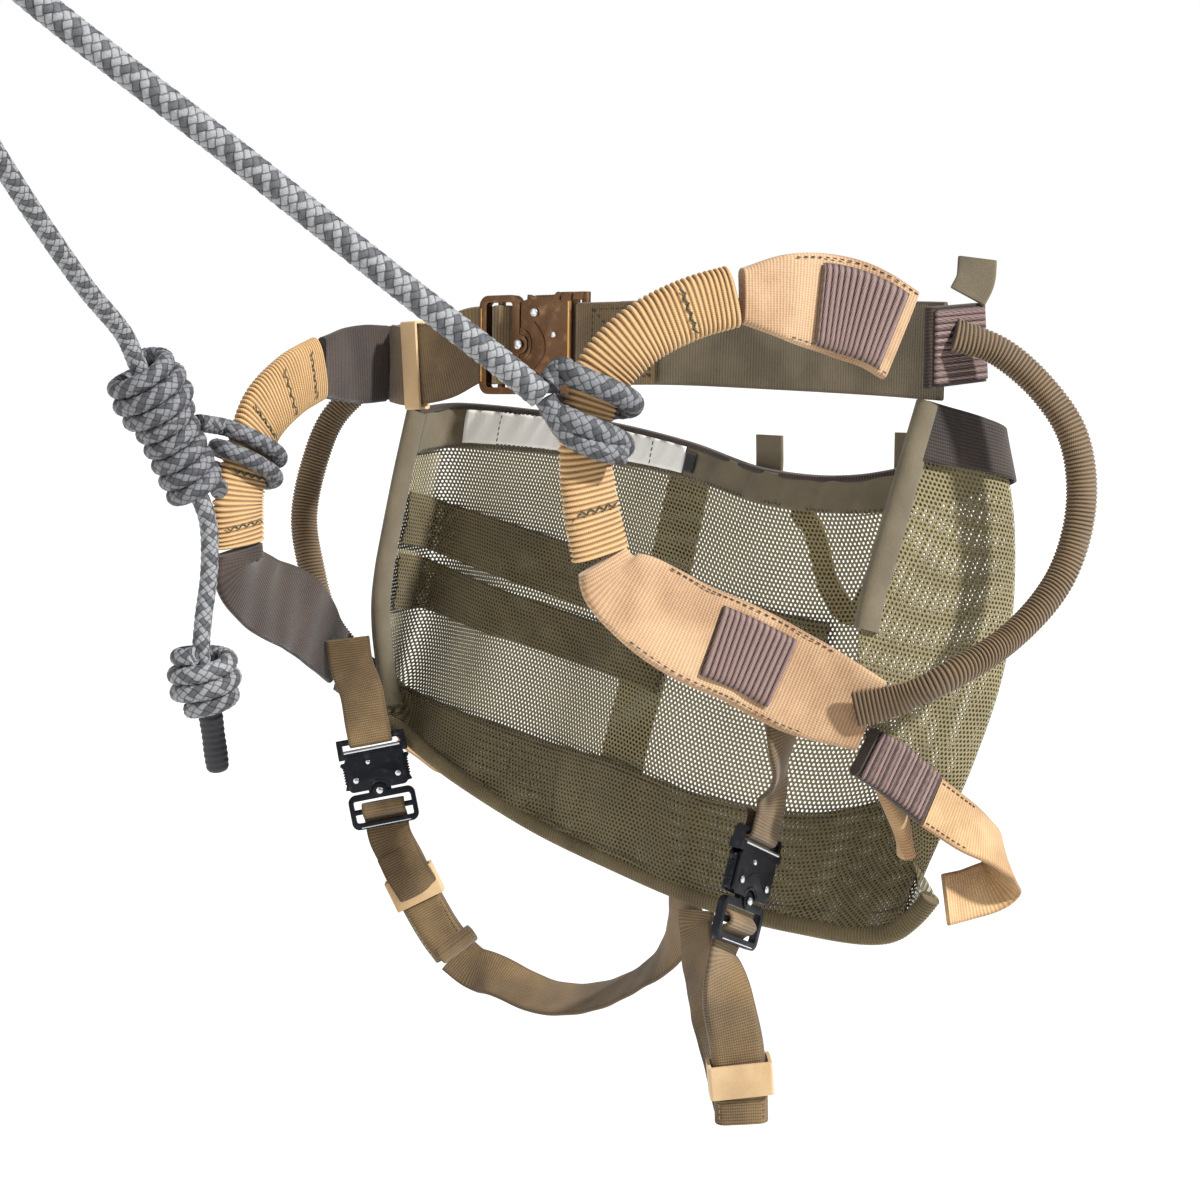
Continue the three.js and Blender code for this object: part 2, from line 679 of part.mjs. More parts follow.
// Webbing doubled round the socket half's end bar; reach is how far each layer runs past the bar.
const ROUND_BAR = END.bar / 2 + GAP + WEBBING_THICKNESS / 2 + 0.1;
function socketWebbing(buckle, width, reach) {
  const thick = WEBBING_THICKNESS * buckle.scale;
  const turn = [60, 30, 0, -30, -60].map((degrees) => {
    const angle = THREE.MathUtils.degToRad(degrees);
    const out = buckle.z
      .clone()
      .multiplyScalar(Math.sin(angle))
      .addScaledVector(buckle.x, -Math.cos(angle));
    const x = END.barAt - ROUND_BAR * Math.cos(angle);
    return station(buckle.place(x, ROUND_BAR * Math.sin(angle)), out, width, thick);
  });
  const back = buckle.z.clone().negate();
  return [
    station(buckle.place(END.barAt + reach, ROUND_BAR), buckle.z, width, thick),
    station(buckle.place(END.barAt + reach / 2, ROUND_BAR), buckle.z, width, thick),
    station(buckle.place(END.barAt + 3, ROUND_BAR), buckle.z, width, thick),
    ...turn,
    station(buckle.place(END.barAt + 3, -ROUND_BAR), back, width, thick),
    station(buckle.place(END.barAt + reach / 2, -ROUND_BAR), back, width, thick),
    station(buckle.place(END.barAt + reach, -ROUND_BAR), back, width, thick),
  ];
}

// ---------- waist belt ----------
const BELT_FACE = [0.1, -1, 0];
const WAIST_TRAVEL = 16;
const FOLD_REACH = 48;
const waist = buckleGroup([-72, 20, 131], [0.975, 0.2, 0.02], [0.2, -0.97, 0.05], WAIST_BUCKLE);
addBuckle("waist_buckle", waist, BRONZE);
addMesh(
  saddle,
  "belt_far",
  sweep([
    station([-186, 8, 96.5 + HALF_WIDE], BELT_FACE, WIDE_WEBBING),
    station([-166, 4, 95.5 + HALF_WIDE], BELT_FACE, WIDE_WEBBING),
    station([-140, 9, 99.5 + HALF_WIDE], BELT_FACE, WIDE_WEBBING),
    ...frameWebbing(waist, WIDE_WEBBING - 2),
  ]),
  COYOTE,
);
const KEEPER_WALL = 1.6;
function keeper(at, along, facing, width, inner, length) {
  const half = width / 2;
  const outer = roundedRectangle(-half - KEEPER_WALL, half + KEEPER_WALL, inner / 2 + KEEPER_WALL, 1.5);
  const hole = roundedRectangle(-half, half, inner / 2, 0.6);
  outer.holes.push(new THREE.Path(hole.getPoints(3)));
  const band = plate(outer, -length / 2, length / 2);
  const z = vector(along).normalize();
  const y = vector(facing);
  y.addScaledVector(z, -y.dot(z)).normalize();
  const x = new THREE.Vector3().crossVectors(y, z);
  return band.applyMatrix4(new THREE.Matrix4().makeBasis(x, y, z).setPosition(vector(at)));
}
addMesh(
  saddle,
  "belt_keeper",
  keeper([-160, 4.7, 95.9 + HALF_WIDE], [0.97, 0.1, 0.06], BELT_FACE, WIDE_WEBBING + 2, 5.2, 12),
  TAN,
);
addMesh(saddle, "belt_fold", sweep(socketWebbing(waist, WIDE_WEBBING - 2, FOLD_REACH)), COYOTE);
const beltStart = END.barAt + WAIST_TRAVEL + 6;
addMesh(
  saddle,
  "belt_near",
  sweep([
    station(waist.place(beltStart, 0), waist.z, WIDE_WEBBING - 1, DOUBLE_WEBBING * WAIST_BUCKLE),
    station(waist.place(beltStart + 24, 0), waist.z, WIDE_WEBBING - 1, DOUBLE_WEBBING * WAIST_BUCKLE),
    station(waist.place(beltStart + 48, 0), waist.z, WIDE_WEBBING),
    station([80, 48, 109.5 + HALF_WIDE], [0, -1, 0], WIDE_WEBBING),
    station([140, 47, 108.5 + HALF_WIDE], [-0.1, -1, 0], WIDE_WEBBING),
    station([187.2, 40, 107.5 + HALF_WIDE], [-0.1, -1, 0], WIDE_WEBBING),
  ]),
  OLIVE,
);

// ---------- leg straps ----------
const FRONT = [0.75, -0.65, 0.1];
const legFar = buckleGroup([-160, -26, -118], [-0.2, -0.07, 0.97], FRONT, LEG_BUCKLE);
addBuckle("leg_buckle_far", legFar, BLACK_METAL);
const LEG_REACH = 14;
// The doubled end round the bar runs on as a single strap up to the loop that carries it.
function legUpper(buckle, route) {
  const wrap = socketWebbing(buckle, LEG_WEBBING, LEG_REACH);
  return sweep([...route, ...wrap]);
}
addMesh(
  saddle,
  "leg_strap_far_upper",
  legUpper(legFar, [
    station([-169.7, -38.8, -36], FRONT, LEG_WEBBING),
    station([-170, -36, -52], FRONT, LEG_WEBBING),
    station([-168, -31, -68], FRONT, LEG_WEBBING),
  ]),
  COYOTE,
);
const LOWER_STACK = 7;
addMesh(
  saddle,
  "leg_strap_far_lower",
  sweep([
    station([-127, 2, -219], FRONT, LEG_WEBBING, 11),
    station([-133, -4, -207], FRONT, LEG_WEBBING, 11),
    station([-141, -11, -188], FRONT, LEG_WEBBING, LOWER_STACK),
    station([-148, -17, -168], FRONT, LEG_WEBBING, LOWER_STACK),
    ...frameWebbing(legFar, LEG_WEBBING),
  ]),
  COYOTE,
);
addMesh(
  saddle,
  "leg_keeper_far",
  keeper([-143.5, -13.2, -181], [-0.33, -0.28, 0.9], FRONT, LEG_WEBBING + 1.5, 9.4, 18),
  TAN,
);
addMesh(
  saddle,
  "leg_slack_far",
  sweep([
    station([-125.4, 3.7, -222.1], FRONT, LEG_WEBBING),
    station([-118, 9.5, -229], FRONT, LEG_WEBBING),
    station([-102, 14, -231], [0.6, -0.5, 0.6], LEG_WEBBING),
    station([-68, 22, -237], [0.1, -0.5, 0.85], LEG_WEBBING),
    station([-28, 28, -227], [-0.3, -0.5, 0.8], LEG_WEBBING),
    station([5, 30, -206], [-0.5, -0.6, 0.6], LEG_WEBBING),
    station([30, 26, -182], [-0.3, -0.95, 0.2], LEG_WEBBING),
    station([44, 20.6, -153.4], [0, -1, 0], LEG_WEBBING),
  ]),
  COYOTE,
);

const NEAR_FACING = [0.97, 0.22, 0];
const legNear = buckleGroup([150, -48, -112], [-0.07, 0.41, 0.91], NEAR_FACING, LEG_BUCKLE);
addBuckle("leg_buckle_near", legNear, BLACK_METAL);
addMesh(
  saddle,
  "leg_strap_near_upper",
  legUpper(legNear, [
    station([166, LOWER_FOOT - 2, -30], FACE_NEAR, LEG_WEBBING),
    station([164, -39, -42], [0.98, 0.1, 0], LEG_WEBBING),
    station([159, -35, -56], [0.9, 0.4, 0], LEG_WEBBING),
    station([151, -32, -70], NEAR_FACING, LEG_WEBBING),
  ]),
  COYOTE,
);
addMesh(
  saddle,
  "leg_strap_near_lower",
  sweep([
    station([150, -50, -224], FRONT, LEG_WEBBING, 9),
    station([150, -51, -206], FRONT, LEG_WEBBING, LOWER_STACK),
    station([150, -54, -186], FRONT, LEG_WEBBING, LOWER_STACK),
    station([150, -60, -164], [0.9, -0.4, 0], LEG_WEBBING, 5),
    ...frameWebbing(legNear, LEG_WEBBING),
  ]),
  COYOTE,
);
addMesh(
  saddle,
  "leg_keeper_near",
  keeper([150, -51.4, -202], [0, -0.12, 1], FRONT, LEG_WEBBING + 1.5, 9.4, 16),
  TAN,
);
addMesh(
  saddle,
  "leg_slack_near",
  sweep([
    station([54, 17.6, -158.2], [0, -1, 0], LEG_WEBBING),
    station([55.5, 16, -166], [0, -1, 0], LEG_WEBBING),
    station([66, 7, -179], [0.1, -1, 0.1], LEG_WEBBING),
    station([90, -10, -192], [0.3, -0.9, 0.2], LEG_WEBBING),
    station([122, -29, -209], [0.6, -0.7, 0.2], LEG_WEBBING),
    station([145, -45.7, -219], FRONT, LEG_WEBBING),
  ]),
  COYOTE,
);

// ---------- rope bridge ----------
// Turns of cord round a sleeve: a flat helix with half-widths across and through the sleeve.
function wraps(centre, down, face, halfAcross, halfThrough, turns, pitch, perTurn, startAngle) {
  const axis = vector(down).normalize();
  const out = vector(face);
  out.addScaledVector(axis, -out.dot(axis)).normalize();
  const across = new THREE.Vector3().crossVectors(axis, out);
  const count = Math.round(turns * perTurn);
  return Array.from({ length: count + 1 }, (_, i) => {
    const turn = startAngle + (i / perTurn) * 2 * Math.PI;
    return vector(centre)
      .addScaledVector(axis, (i / perTurn - turns / 2) * pitch)
      .addScaledVector(across, Math.cos(turn) * halfAcross)
      .addScaledVector(out, Math.sin(turn) * halfThrough);
  });
}

const EYE_CENTRE = [131, -127.8, 105];
const eyeAcross = 23 / 2 + GAP + 1.4 + EYE_DIAMETER / 2;
const eyeThrough = SLEEVE_THICKNESS / 2 + GAP + 1.7 + EYE_DIAMETER / 2;
const eyeWraps = wraps(EYE_CENTRE, [-0.1, -0.2, -1], FACE_NEAR, eyeAcross, eyeThrough, 1.75, 18, 16, 0);
addMesh(saddle, "eye_hitch", cordTube(eyeWraps, EYE_DIAMETER, 30), ROPE);

const LOOP_CENTRE = [-131.3, -128.2, 73];
const loopAcross = 29 / 2 + GAP + 1.2 + HITCH_CORD / 2;
const loopThrough = SLEEVE_THICKNESS / 2 + GAP + 1.4 + HITCH_CORD / 2;
const HITCH_EXIT = [-123.5, -161.6, 93];
const LOOP_AXIS = [0.1, -0.36, -1];
const loopWraps = wraps(LOOP_CENTRE, LOOP_AXIS, FACE_FAR, loopAcross, loopThrough, 1.9, 11, 16, Math.PI);
addMesh(saddle, "hitch_loop", cordTube([HITCH_EXIT, ...loopWraps], HITCH_CORD, 30), ROPE);

// The friction hitch is a lump of turns with the rope running through it.
const HITCH_TOP = new THREE.Vector3(-121, -196, 122);
const HITCH_LOW = new THREE.Vector3(-122, -163, 56);
function ropeLump(from, to, radii, bore) {
  const axis = to.clone().sub(from);
  const length = axis.length();
  const profile = radii.map(([share, radius]) => new THREE.Vector2(radius, share * length));
  const inner = [new THREE.Vector2(bore, length), new THREE.Vector2(bore, 0)];
  const points = [...profile, ...inner, profile[0].clone()];
  const turn = new THREE.Quaternion().setFromUnitVectors(new THREE.Vector3(0, 1, 0), axis.normalize());
  return new THREE.LatheGeometry(points, 16).applyQuaternion(turn).translate(from.x, from.y, from.z);
}
const ROPE_BORE = ROPE_DIAMETER / 2 + 2 * GAP;
addMesh(
  saddle,
  "friction_hitch",
  ropeLump(
    HITCH_TOP,
    HITCH_LOW,
    [
      [0, 14], [0.06, 20], [0.3, 20], [0.4, 15.5], [0.9, 15.5], [1, 12],
    ],
    ROPE_BORE,
  ),
  ROPE,
);
const KNOT_TOP = new THREE.Vector3(-126, -162, -24);
const KNOT_LOW = new THREE.Vector3(-126, -159, -52);
addMesh(
  saddle,
  "stopper_knot",
  ropeLump(
    KNOT_TOP,
    KNOT_LOW,
    [
      [0, 11], [0.15, 18], [0.5, 20], [0.85, 18], [1, 10],
    ],
    ROPE_BORE,
  ),
  ROPE,
);
addMesh(
  saddle,
  "rope_end_cap",
  new THREE.CylinderGeometry(6.2, 6.2, 33, 12).rotateX(Math.PI / 2 + 0.12).translate(-126, -155.8, -71.6),
  RUBBER,
);

// The rope from the eye on the near loop, up over the hook and down through the friction hitch to its knot.
const HOOK_BOW = PULL.clone().multiplyScalar(HOOK_BAR / 2 - HOOK_LENGTH).sub(SADDLE);
const bightTop = HOOK_BAR / 2 + 2 * GAP + ROPE_DIAMETER / 2;
const bightCentre = HOOK_BOW.clone().addScaledVector(PULL, bightTop - BIGHT_RADIUS);
const bight = Array.from({ length: 9 }, (_, i) => {
  const angle = THREE.MathUtils.degToRad(mix(70, -70, i / 8));
  return bightCentre
    .clone()
    .addScaledVector(new THREE.Vector3(1, 0, 0), BIGHT_RADIUS * Math.sin(angle))
    .addScaledVector(PULL, BIGHT_RADIUS * Math.cos(angle));
});
const ROPE_ROUTE = [
  [128.4, -153.6, 113.6],
  [122, -171, 128],
  [107, -202, 154],
  [74, -268, 211],
  [42, -333, 266],
  ...bight,
  [-41, -335, 258],
  [-72, -285, 207],
  [-102, -234, 160],
  [-119, -203.6, 136],
  HITCH_TOP,
  HITCH_TOP.clone().lerp(HITCH_LOW, 0.5),
  HITCH_LOW,
  [-122.5, -158, 42],
  [-124.5, -157, 16],
  [-126, -160, -6],
  KNOT_TOP,
  KNOT_TOP.clone().lerp(KNOT_LOW, 0.5),
  [-126, -158.6, -54.8],
];
addMesh(saddle, "bridge_rope", cordTube(ROPE_ROUTE, ROPE_DIAMETER, 64), ROPE);

// ---------- hook ----------
// A D-shaped carabiner: its flat lies square to the rope's bight, its crown holds the whole object up.
const hook = new THREE.Group();
const hookSide = new THREE.Vector3().crossVectors(new THREE.Vector3(1, 0, 0), PULL);
hook.applyMatrix4(
  new THREE.Matrix4()
    .makeBasis(hookSide, new THREE.Vector3(1, 0, 0), PULL)
    .setPosition(PULL.clone().multiplyScalar(HOOK_BAR / 2 - HOOK_LENGTH / 2)),
);
root.add(hook);
const HALF_LENGTH = HOOK_LENGTH / 2;
const HALF_WIDTH = HOOK_WIDTH / 2;
const GATE_TIP = HALF_LENGTH - 22;
const GATE_FOOT = -GATE_TIP;
const hookOutline = [
  [HALF_WIDTH, 0, GATE_TIP + HOOK_BAR / 2 + 2.5],
  [HALF_WIDTH - 3, 0, HALF_LENGTH - 8],
  [HALF_WIDTH - 14, 0, HALF_LENGTH],
  [0, 0, HALF_LENGTH],
  [-HALF_WIDTH + 10, 0, HALF_LENGTH - 4],
  [-HALF_WIDTH, 0, HALF_LENGTH - 18],
  [-HALF_WIDTH, 0, 0],
  [-HALF_WIDTH, 0, -HALF_LENGTH + 18],
  [-HALF_WIDTH + 10, 0, -HALF_LENGTH + 4],
  [0, 0, -HALF_LENGTH],
  [HALF_WIDTH - 14, 0, -HALF_LENGTH],
  [HALF_WIDTH - 3, 0, -HALF_LENGTH + 8],
  [HALF_WIDTH, 0, GATE_FOOT - HOOK_BAR / 2 - 2.5],
];
addMesh(hook, "hook_body", cordTube(hookOutline, HOOK_BAR, 34, 8), STEEL);
addMesh(
  hook,
  "hook_gate",
  new THREE.CylinderGeometry(HOOK_GATE_DIAMETER / 2, HOOK_GATE_DIAMETER / 2, GATE_TIP - GATE_FOOT + 9.6, 12)
    .rotateX(Math.PI / 2)
    .translate(HALF_WIDTH, 0, (GATE_TIP + GATE_FOOT) / 2 + 0.2),
  STEEL,
);
const LOCK_LENGTH = 26;
const lockProfile = [
  [HOOK_GATE_DIAMETER / 2 + GAP, -LOCK_LENGTH / 2],
  [HOOK_GATE_DIAMETER / 2 + 2.6, -LOCK_LENGTH / 2],
  [HOOK_GATE_DIAMETER / 2 + 2.6, LOCK_LENGTH / 2],
  [HOOK_GATE_DIAMETER / 2 + GAP, LOCK_LENGTH / 2],
  [HOOK_GATE_DIAMETER / 2 + GAP, -LOCK_LENGTH / 2],
].map(([radius, height]) => new THREE.Vector2(radius, height));
addMesh(
  hook,
  "hook_lock",
  new THREE.LatheGeometry(lockProfile, 14).rotateX(Math.PI / 2).translate(HALF_WIDTH, 0, 8),
  STEEL,
);

export default root;
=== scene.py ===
"""A tree-climbing saddle hung by its rope bridge, with its fabric, rope, stitching and finishes."""

from __future__ import annotations

import json
import logging
from collections.abc import Callable, Iterator, Sequence
from contextlib import contextmanager
from dataclasses import dataclass, field
from enum import StrEnum, auto
from math import copysign, cos, pi, radians, sin

import bpy
import numpy as np
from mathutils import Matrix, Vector

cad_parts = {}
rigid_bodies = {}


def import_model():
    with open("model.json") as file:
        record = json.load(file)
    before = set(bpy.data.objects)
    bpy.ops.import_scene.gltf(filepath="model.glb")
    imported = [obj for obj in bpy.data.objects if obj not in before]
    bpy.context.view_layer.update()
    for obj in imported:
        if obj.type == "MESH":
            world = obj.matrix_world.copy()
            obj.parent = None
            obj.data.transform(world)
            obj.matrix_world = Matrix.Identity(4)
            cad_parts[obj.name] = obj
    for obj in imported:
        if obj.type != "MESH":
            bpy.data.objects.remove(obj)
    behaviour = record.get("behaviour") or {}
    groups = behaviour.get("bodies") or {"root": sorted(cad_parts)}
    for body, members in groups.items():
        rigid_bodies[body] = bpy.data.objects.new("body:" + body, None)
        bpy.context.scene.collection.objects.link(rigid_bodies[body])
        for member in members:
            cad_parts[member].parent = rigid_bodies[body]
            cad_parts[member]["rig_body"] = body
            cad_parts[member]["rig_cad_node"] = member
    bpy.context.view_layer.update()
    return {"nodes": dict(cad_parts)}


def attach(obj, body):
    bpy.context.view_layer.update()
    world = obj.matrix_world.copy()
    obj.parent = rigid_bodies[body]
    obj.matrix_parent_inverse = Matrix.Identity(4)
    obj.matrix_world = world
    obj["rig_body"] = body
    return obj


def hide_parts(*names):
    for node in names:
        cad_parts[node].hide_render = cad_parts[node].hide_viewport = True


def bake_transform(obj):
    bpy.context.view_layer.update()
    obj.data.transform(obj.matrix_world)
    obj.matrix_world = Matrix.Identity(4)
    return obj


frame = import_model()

log = logging.getLogger("saddle")

Point = tuple[float, float, float]
Colour = tuple[float, float, float, float]
Array = np.ndarray
Piece = bpy.types.Object
Socket = bpy.types.NodeSocket

MM = 0.001
SADDLE = np.array([0.0, 458.0, -381.0])  # the middle of the saddle from the hook's crown, in millimetres
TURN = 2 * pi
WELD = 2e-6  # points closer than this many metres are merged
WEBBING_THICK = 2.4
STITCH_SPACING = 1.35  # from one stitch to the next, in stitch lengths
ZIGZAG_STITCHES = 9
GOLDEN_SHARE = 0.381966  # spreads the pale strands unevenly round the rope


class Body(StrEnum):
    """The moving bodies that pieces ride on."""

    SADDLE = auto()
    WAIST_SOCKET = auto()
    WAIST_LEVER_UPPER = auto()
    WAIST_LEVER_LOWER = auto()
    BELT_KEEPER = auto()
    LEG_FAR_LOWER = auto()
    LEG_FAR_KEEPER = auto()
    LEG_FAR_LEVER_UPPER = auto()
    LEG_FAR_LEVER_LOWER = auto()
    LEG_NEAR_LOWER = auto()
    LEG_NEAR_KEEPER = auto()
    LEG_NEAR_LEVER_UPPER = auto()
    LEG_NEAR_LEVER_LOWER = auto()
    HOOK_GATE = auto()
    HOOK_LOCK = auto()


def rgb(code: int) -> Colour:
    """Returns the linear colour of a display colour code such as 0xC2A074."""
    parts = [((code >> shift) & 255) / 255 for shift in (16, 8, 0)]
    linear = [p / 12.92 if p <= 0.04045 else ((p + 0.055) / 1.055) ** 2.4 for p in parts]
    return (linear[0], linear[1], linear[2], 1.0)


def unit(vector: Sequence[float]) -> Array:
    """Returns the vector at length one."""
    array = np.asarray(vector, float)
    return array / np.linalg.norm(array)


# ---------- shader values ----------
class Value:
    """A number that varies over a surface; arithmetic on it adds Math nodes."""

    def __init__(self, tree: bpy.types.NodeTree, socket: Socket) -> None:
        """Wraps an output socket of a node tree."""
        self.tree = tree
        self.socket = socket

    def math(self, operation: str, *others: Value | float, first: float | None = None) -> Value:
        """Adds one Math node.

        Args:
            operation: The Math node's operation.
            others: The values after this one.
            first: A number to put before this value, for the reflected forms.

        Returns:
            The node's result.
        """
        node = self.tree.nodes.new("ShaderNodeMath")
        node.operation = operation
        items = [self, *others] if first is None else [first, self]
        for slot, item in enumerate(items):
            if isinstance(item, Value):
                self.tree.links.new(item.socket, node.inputs[slot])
            else:
                node.inputs[slot].default_value = float(item)
        return Value(self.tree, node.outputs[0])

    def __add__(self, other: Value | float) -> Value:
        """Returns the sum."""
        return self.math("ADD", other)

    __radd__ = __add__

    def __sub__(self, other: Value | float) -> Value:
        """Returns the difference."""
        return self.math("SUBTRACT", other)

    def __rsub__(self, other: float) -> Value:
        """Returns a number less this value."""
        return self.math("SUBTRACT", first=other)

    def __mul__(self, other: Value | float) -> Value:
        """Returns the product."""
        return self.math("MULTIPLY", other)

    __rmul__ = __mul__

    def __truediv__(self, other: Value | float) -> Value:
        """Returns the quotient."""
        return self.math("DIVIDE", other)

    def __pow__(self, other: float) -> Value:
        """Returns this value to a power."""
        return self.math("POWER", other)

    def sin(self) -> Value:
        """Returns the sine."""
        return self.math("SINE")

    def cos(self) -> Value:
        """Returns the cosine."""
        return self.math("COSINE")

    def abs(self) -> Value:
        """Returns the size without its sign."""
        return self.math("ABSOLUTE")

    def floor(self) -> Value:
        """Returns the whole number below."""
        return self.math("FLOOR")

    def part(self) -> Value:
        """Returns what is left over a whole number."""
        return self.math("FRACT")

    def over(self, limit: Value | float) -> Value:
        """Returns 1 where the value is over a limit."""
        return self.math("GREATER_THAN", limit)

    def under(self, limit: Value | float) -> Value:
        """Returns 1 where the value is under a limit."""
        return self.math("LESS_THAN", limit)

    def least(self, other: Value | float) -> Value:
        """Returns the smaller of two values."""
        return self.math("MINIMUM", other)

    def ease(self, low: float, high: float) -> Value:
        """Returns 0 below low and 1 above high, with a smooth rise between."""
        node = self.tree.nodes.new("ShaderNodeMapRange")
        node.interpolation_type = "SMOOTHSTEP"
        self.tree.links.new(self.socket, node.inputs["Value"])
        node.inputs["From Min"].default_value = low
        node.inputs["From Max"].default_value = high
        return Value(self.tree, node.outputs["Result"])


class Bench:
    """Builds one material's nodes."""

    def __init__(self, name: str) -> None:
        """Starts an empty material with a Principled shader."""
        self.material = bpy.data.materials.new(name)
        self.material.use_nodes = True
        self.tree = self.material.node_tree
        self.tree.nodes.clear()
        self.shader = self.node("ShaderNodeBsdfPrincipled")
        output = self.node("ShaderNodeOutputMaterial")
        self.tree.links.new(self.shader.outputs[0], output.inputs["Surface"])

    def node(self, kind: str, settings: dict | None = None, sockets: dict | None = None) -> bpy.types.Node:
        """Adds one node.

        Args:
            kind: The node's type.
            settings: Its own settings, set first.
            sockets: Values or links for its input sockets, by name or number.

        Returns:
            The node.
        """
        node = self.tree.nodes.new(kind)
        for name, value in (settings or {}).items():
            setattr(node, name, value)
        for name, value in (sockets or {}).items():
            self.feed(node.inputs[name], value)
        return node

    def feed(self, socket: Socket, value: object) -> None:
        """Gives an input socket a value, or a link from a Value or another socket."""
        if isinstance(value, Value):
            value = value.socket
        if isinstance(value, Socket):
            self.tree.links.new(value, socket)
        else:
            socket.default_value = value

    def flat(self) -> tuple[Value, Value]:
        """Returns the piece's own UV map as millimetres across and along."""
        source = self.node("ShaderNodeUVMap", {"uv_map": "UVMap"})
        split = self.node("ShaderNodeSeparateXYZ", sockets={0: source.outputs[0]})
        return Value(self.tree, split.outputs[0]) * 1000.0, Value(self.tree, split.outputs[1]) * 1000.0

    def place(self) -> Socket:
        """Returns the point's place on the object."""
        return self.node("ShaderNodeTexCoord").outputs["Object"]

    def noise(self, size: float, detail: float = 3.0, stretch: Point = (1.0, 1.0, 1.0)) -> Value:
        """Returns soft noise from 0 to 1 whose lumps are about size millimetres across."""
        mapped = self.node(
            "ShaderNodeMapping",
            sockets={"Vector": self.place(), "Scale": [s * 1000.0 / size for s in stretch]},
        )
        node = self.node(
            "ShaderNodeTexNoise", sockets={"Vector": mapped.outputs[0], "Scale": 1.0, "Detail": detail}
        )
        return Value(self.tree, node.outputs[0])

    def blend(self, share: Value | float, a: Colour | Socket, b: Colour | Socket) -> Socket:
        """Returns colour a where share is 0 and b where it is 1."""
        node = self.node(
            "ShaderNodeMix", {"data_type": "RGBA", "clamp_factor": True}, {0: share, 6: a, 7: b}
        )
        return node.outputs[2]

    def set(self, **sockets: object) -> None:
        """Sets or links the shader's sockets; a name's underscores stand for its spaces."""
        for name, value in sockets.items():
            self.feed(self.shader.inputs[name.replace("_", " ")], value)

    def relief(self, height: Value, depth: float) -> None:
        """Raises the surface by height, 0 to 1, over a depth in millimetres."""
        node = self.node(
            "ShaderNodeBump", sockets={"Height": height, "Strength": 0.9, "Distance": depth * MM}
        )
        self.set(Normal=node.outputs[0])


MADE: dict[object, bpy.types.Material] = {}


class Finish:
    """What a surface is made of; each finish makes its material once."""

    name: str

    def build(self, bench: Bench) -> None:
        """Fills the bench's material."""
        raise NotImplementedError

    def material(self) -> bpy.types.Material:
        """Returns the finish's material."""
        if self not in MADE:
            bench = Bench(f"{type(self).__name__}_{self.name}")
            self.build(bench)
            MADE[self] = bench.material
        return MADE[self]


@dataclass(frozen=True)
class Webbing(Finish):
    """Flat woven webbing: fine cross ribs, two darker selvedges, and broad blotches that are partly stains
    and partly painted shade.

    The UV map runs across and along the strap.
    """

    name: str
    light: Colour
    dark: Colour
    rib: float = 1.5
    half: float = 22.5
    depth: float = 0.35
    edge: float = 0.55

    def build(self, bench: Bench) -> None:
        """Fills the bench's material."""
        across, along = bench.flat()
        wander = bench.noise(9.0, 4.0)
        ribs = ((along + wander * 0.5) * (TURN / self.rib)).sin() * 0.5 + 0.5
        warp = (across * (TURN / 1.05)).sin() * 0.5 + 0.5
        # broad soft blotches: partly real stains, partly painted shade that darkens the straps in large
        # patches
        blotches = bench.noise(34.0, 5.0).ease(0.36, 0.66)
        fibre = bench.noise(0.9, 2.0)
        selvedge = across.abs().ease(self.half - 2.2, self.half - 0.6)
        share = ribs * 0.34 + warp * 0.12 + blotches * 0.42 + fibre * 0.34 - 0.1
        cloth = bench.blend(share, self.dark, self.light)
        # the selvedges are darkened towards the dark colour
        worn = bench.blend(selvedge * self.edge, cloth, self.dark)
        bench.set(Base_Color=worn, Roughness=0.95 - ribs * 0.2)
        bench.set(Sheen_Weight=0.25)
        bench.set(Sheen_Roughness=0.5)
        bench.relief(ribs * 0.6 + warp * 0.25 + fibre * 0.3, self.depth)


@dataclass(frozen=True)
class Ribbed(Finish):
    """A sleeve or loop whose cross ribs are modelled; painted shade darkens the grooves and fibres run
    round it.
    """

    name: str
    light: Colour
    dark: Colour
    rib: float = 2.4

    def build(self, bench: Bench) -> None:
        """Fills the bench's material."""
        across, along = bench.flat()
        crest = (along * (TURN / self.rib)).cos() * -0.5 + 0.5
        fibre = bench.noise(0.8, 2.0)
        blotches = bench.noise(22.0, 4.0)
        # painted shade and light: the colour darkens in the grooves between the modelled ribs and lightens
        # on their crests
        share = crest * 0.75 + blotches * 0.4 + fibre * 0.2 - 0.2
        bench.set(Base_Color=bench.blend(share, self.dark, self.light), Roughness=0.9 - crest * 0.15)
        bench.set(Sheen_Weight=0.2)
        threads = ((across + along * 0.35) * (TURN / 0.9)).sin() * 0.5 + 0.5
        bench.relief(threads * 0.5 + fibre * 0.5, 0.25)


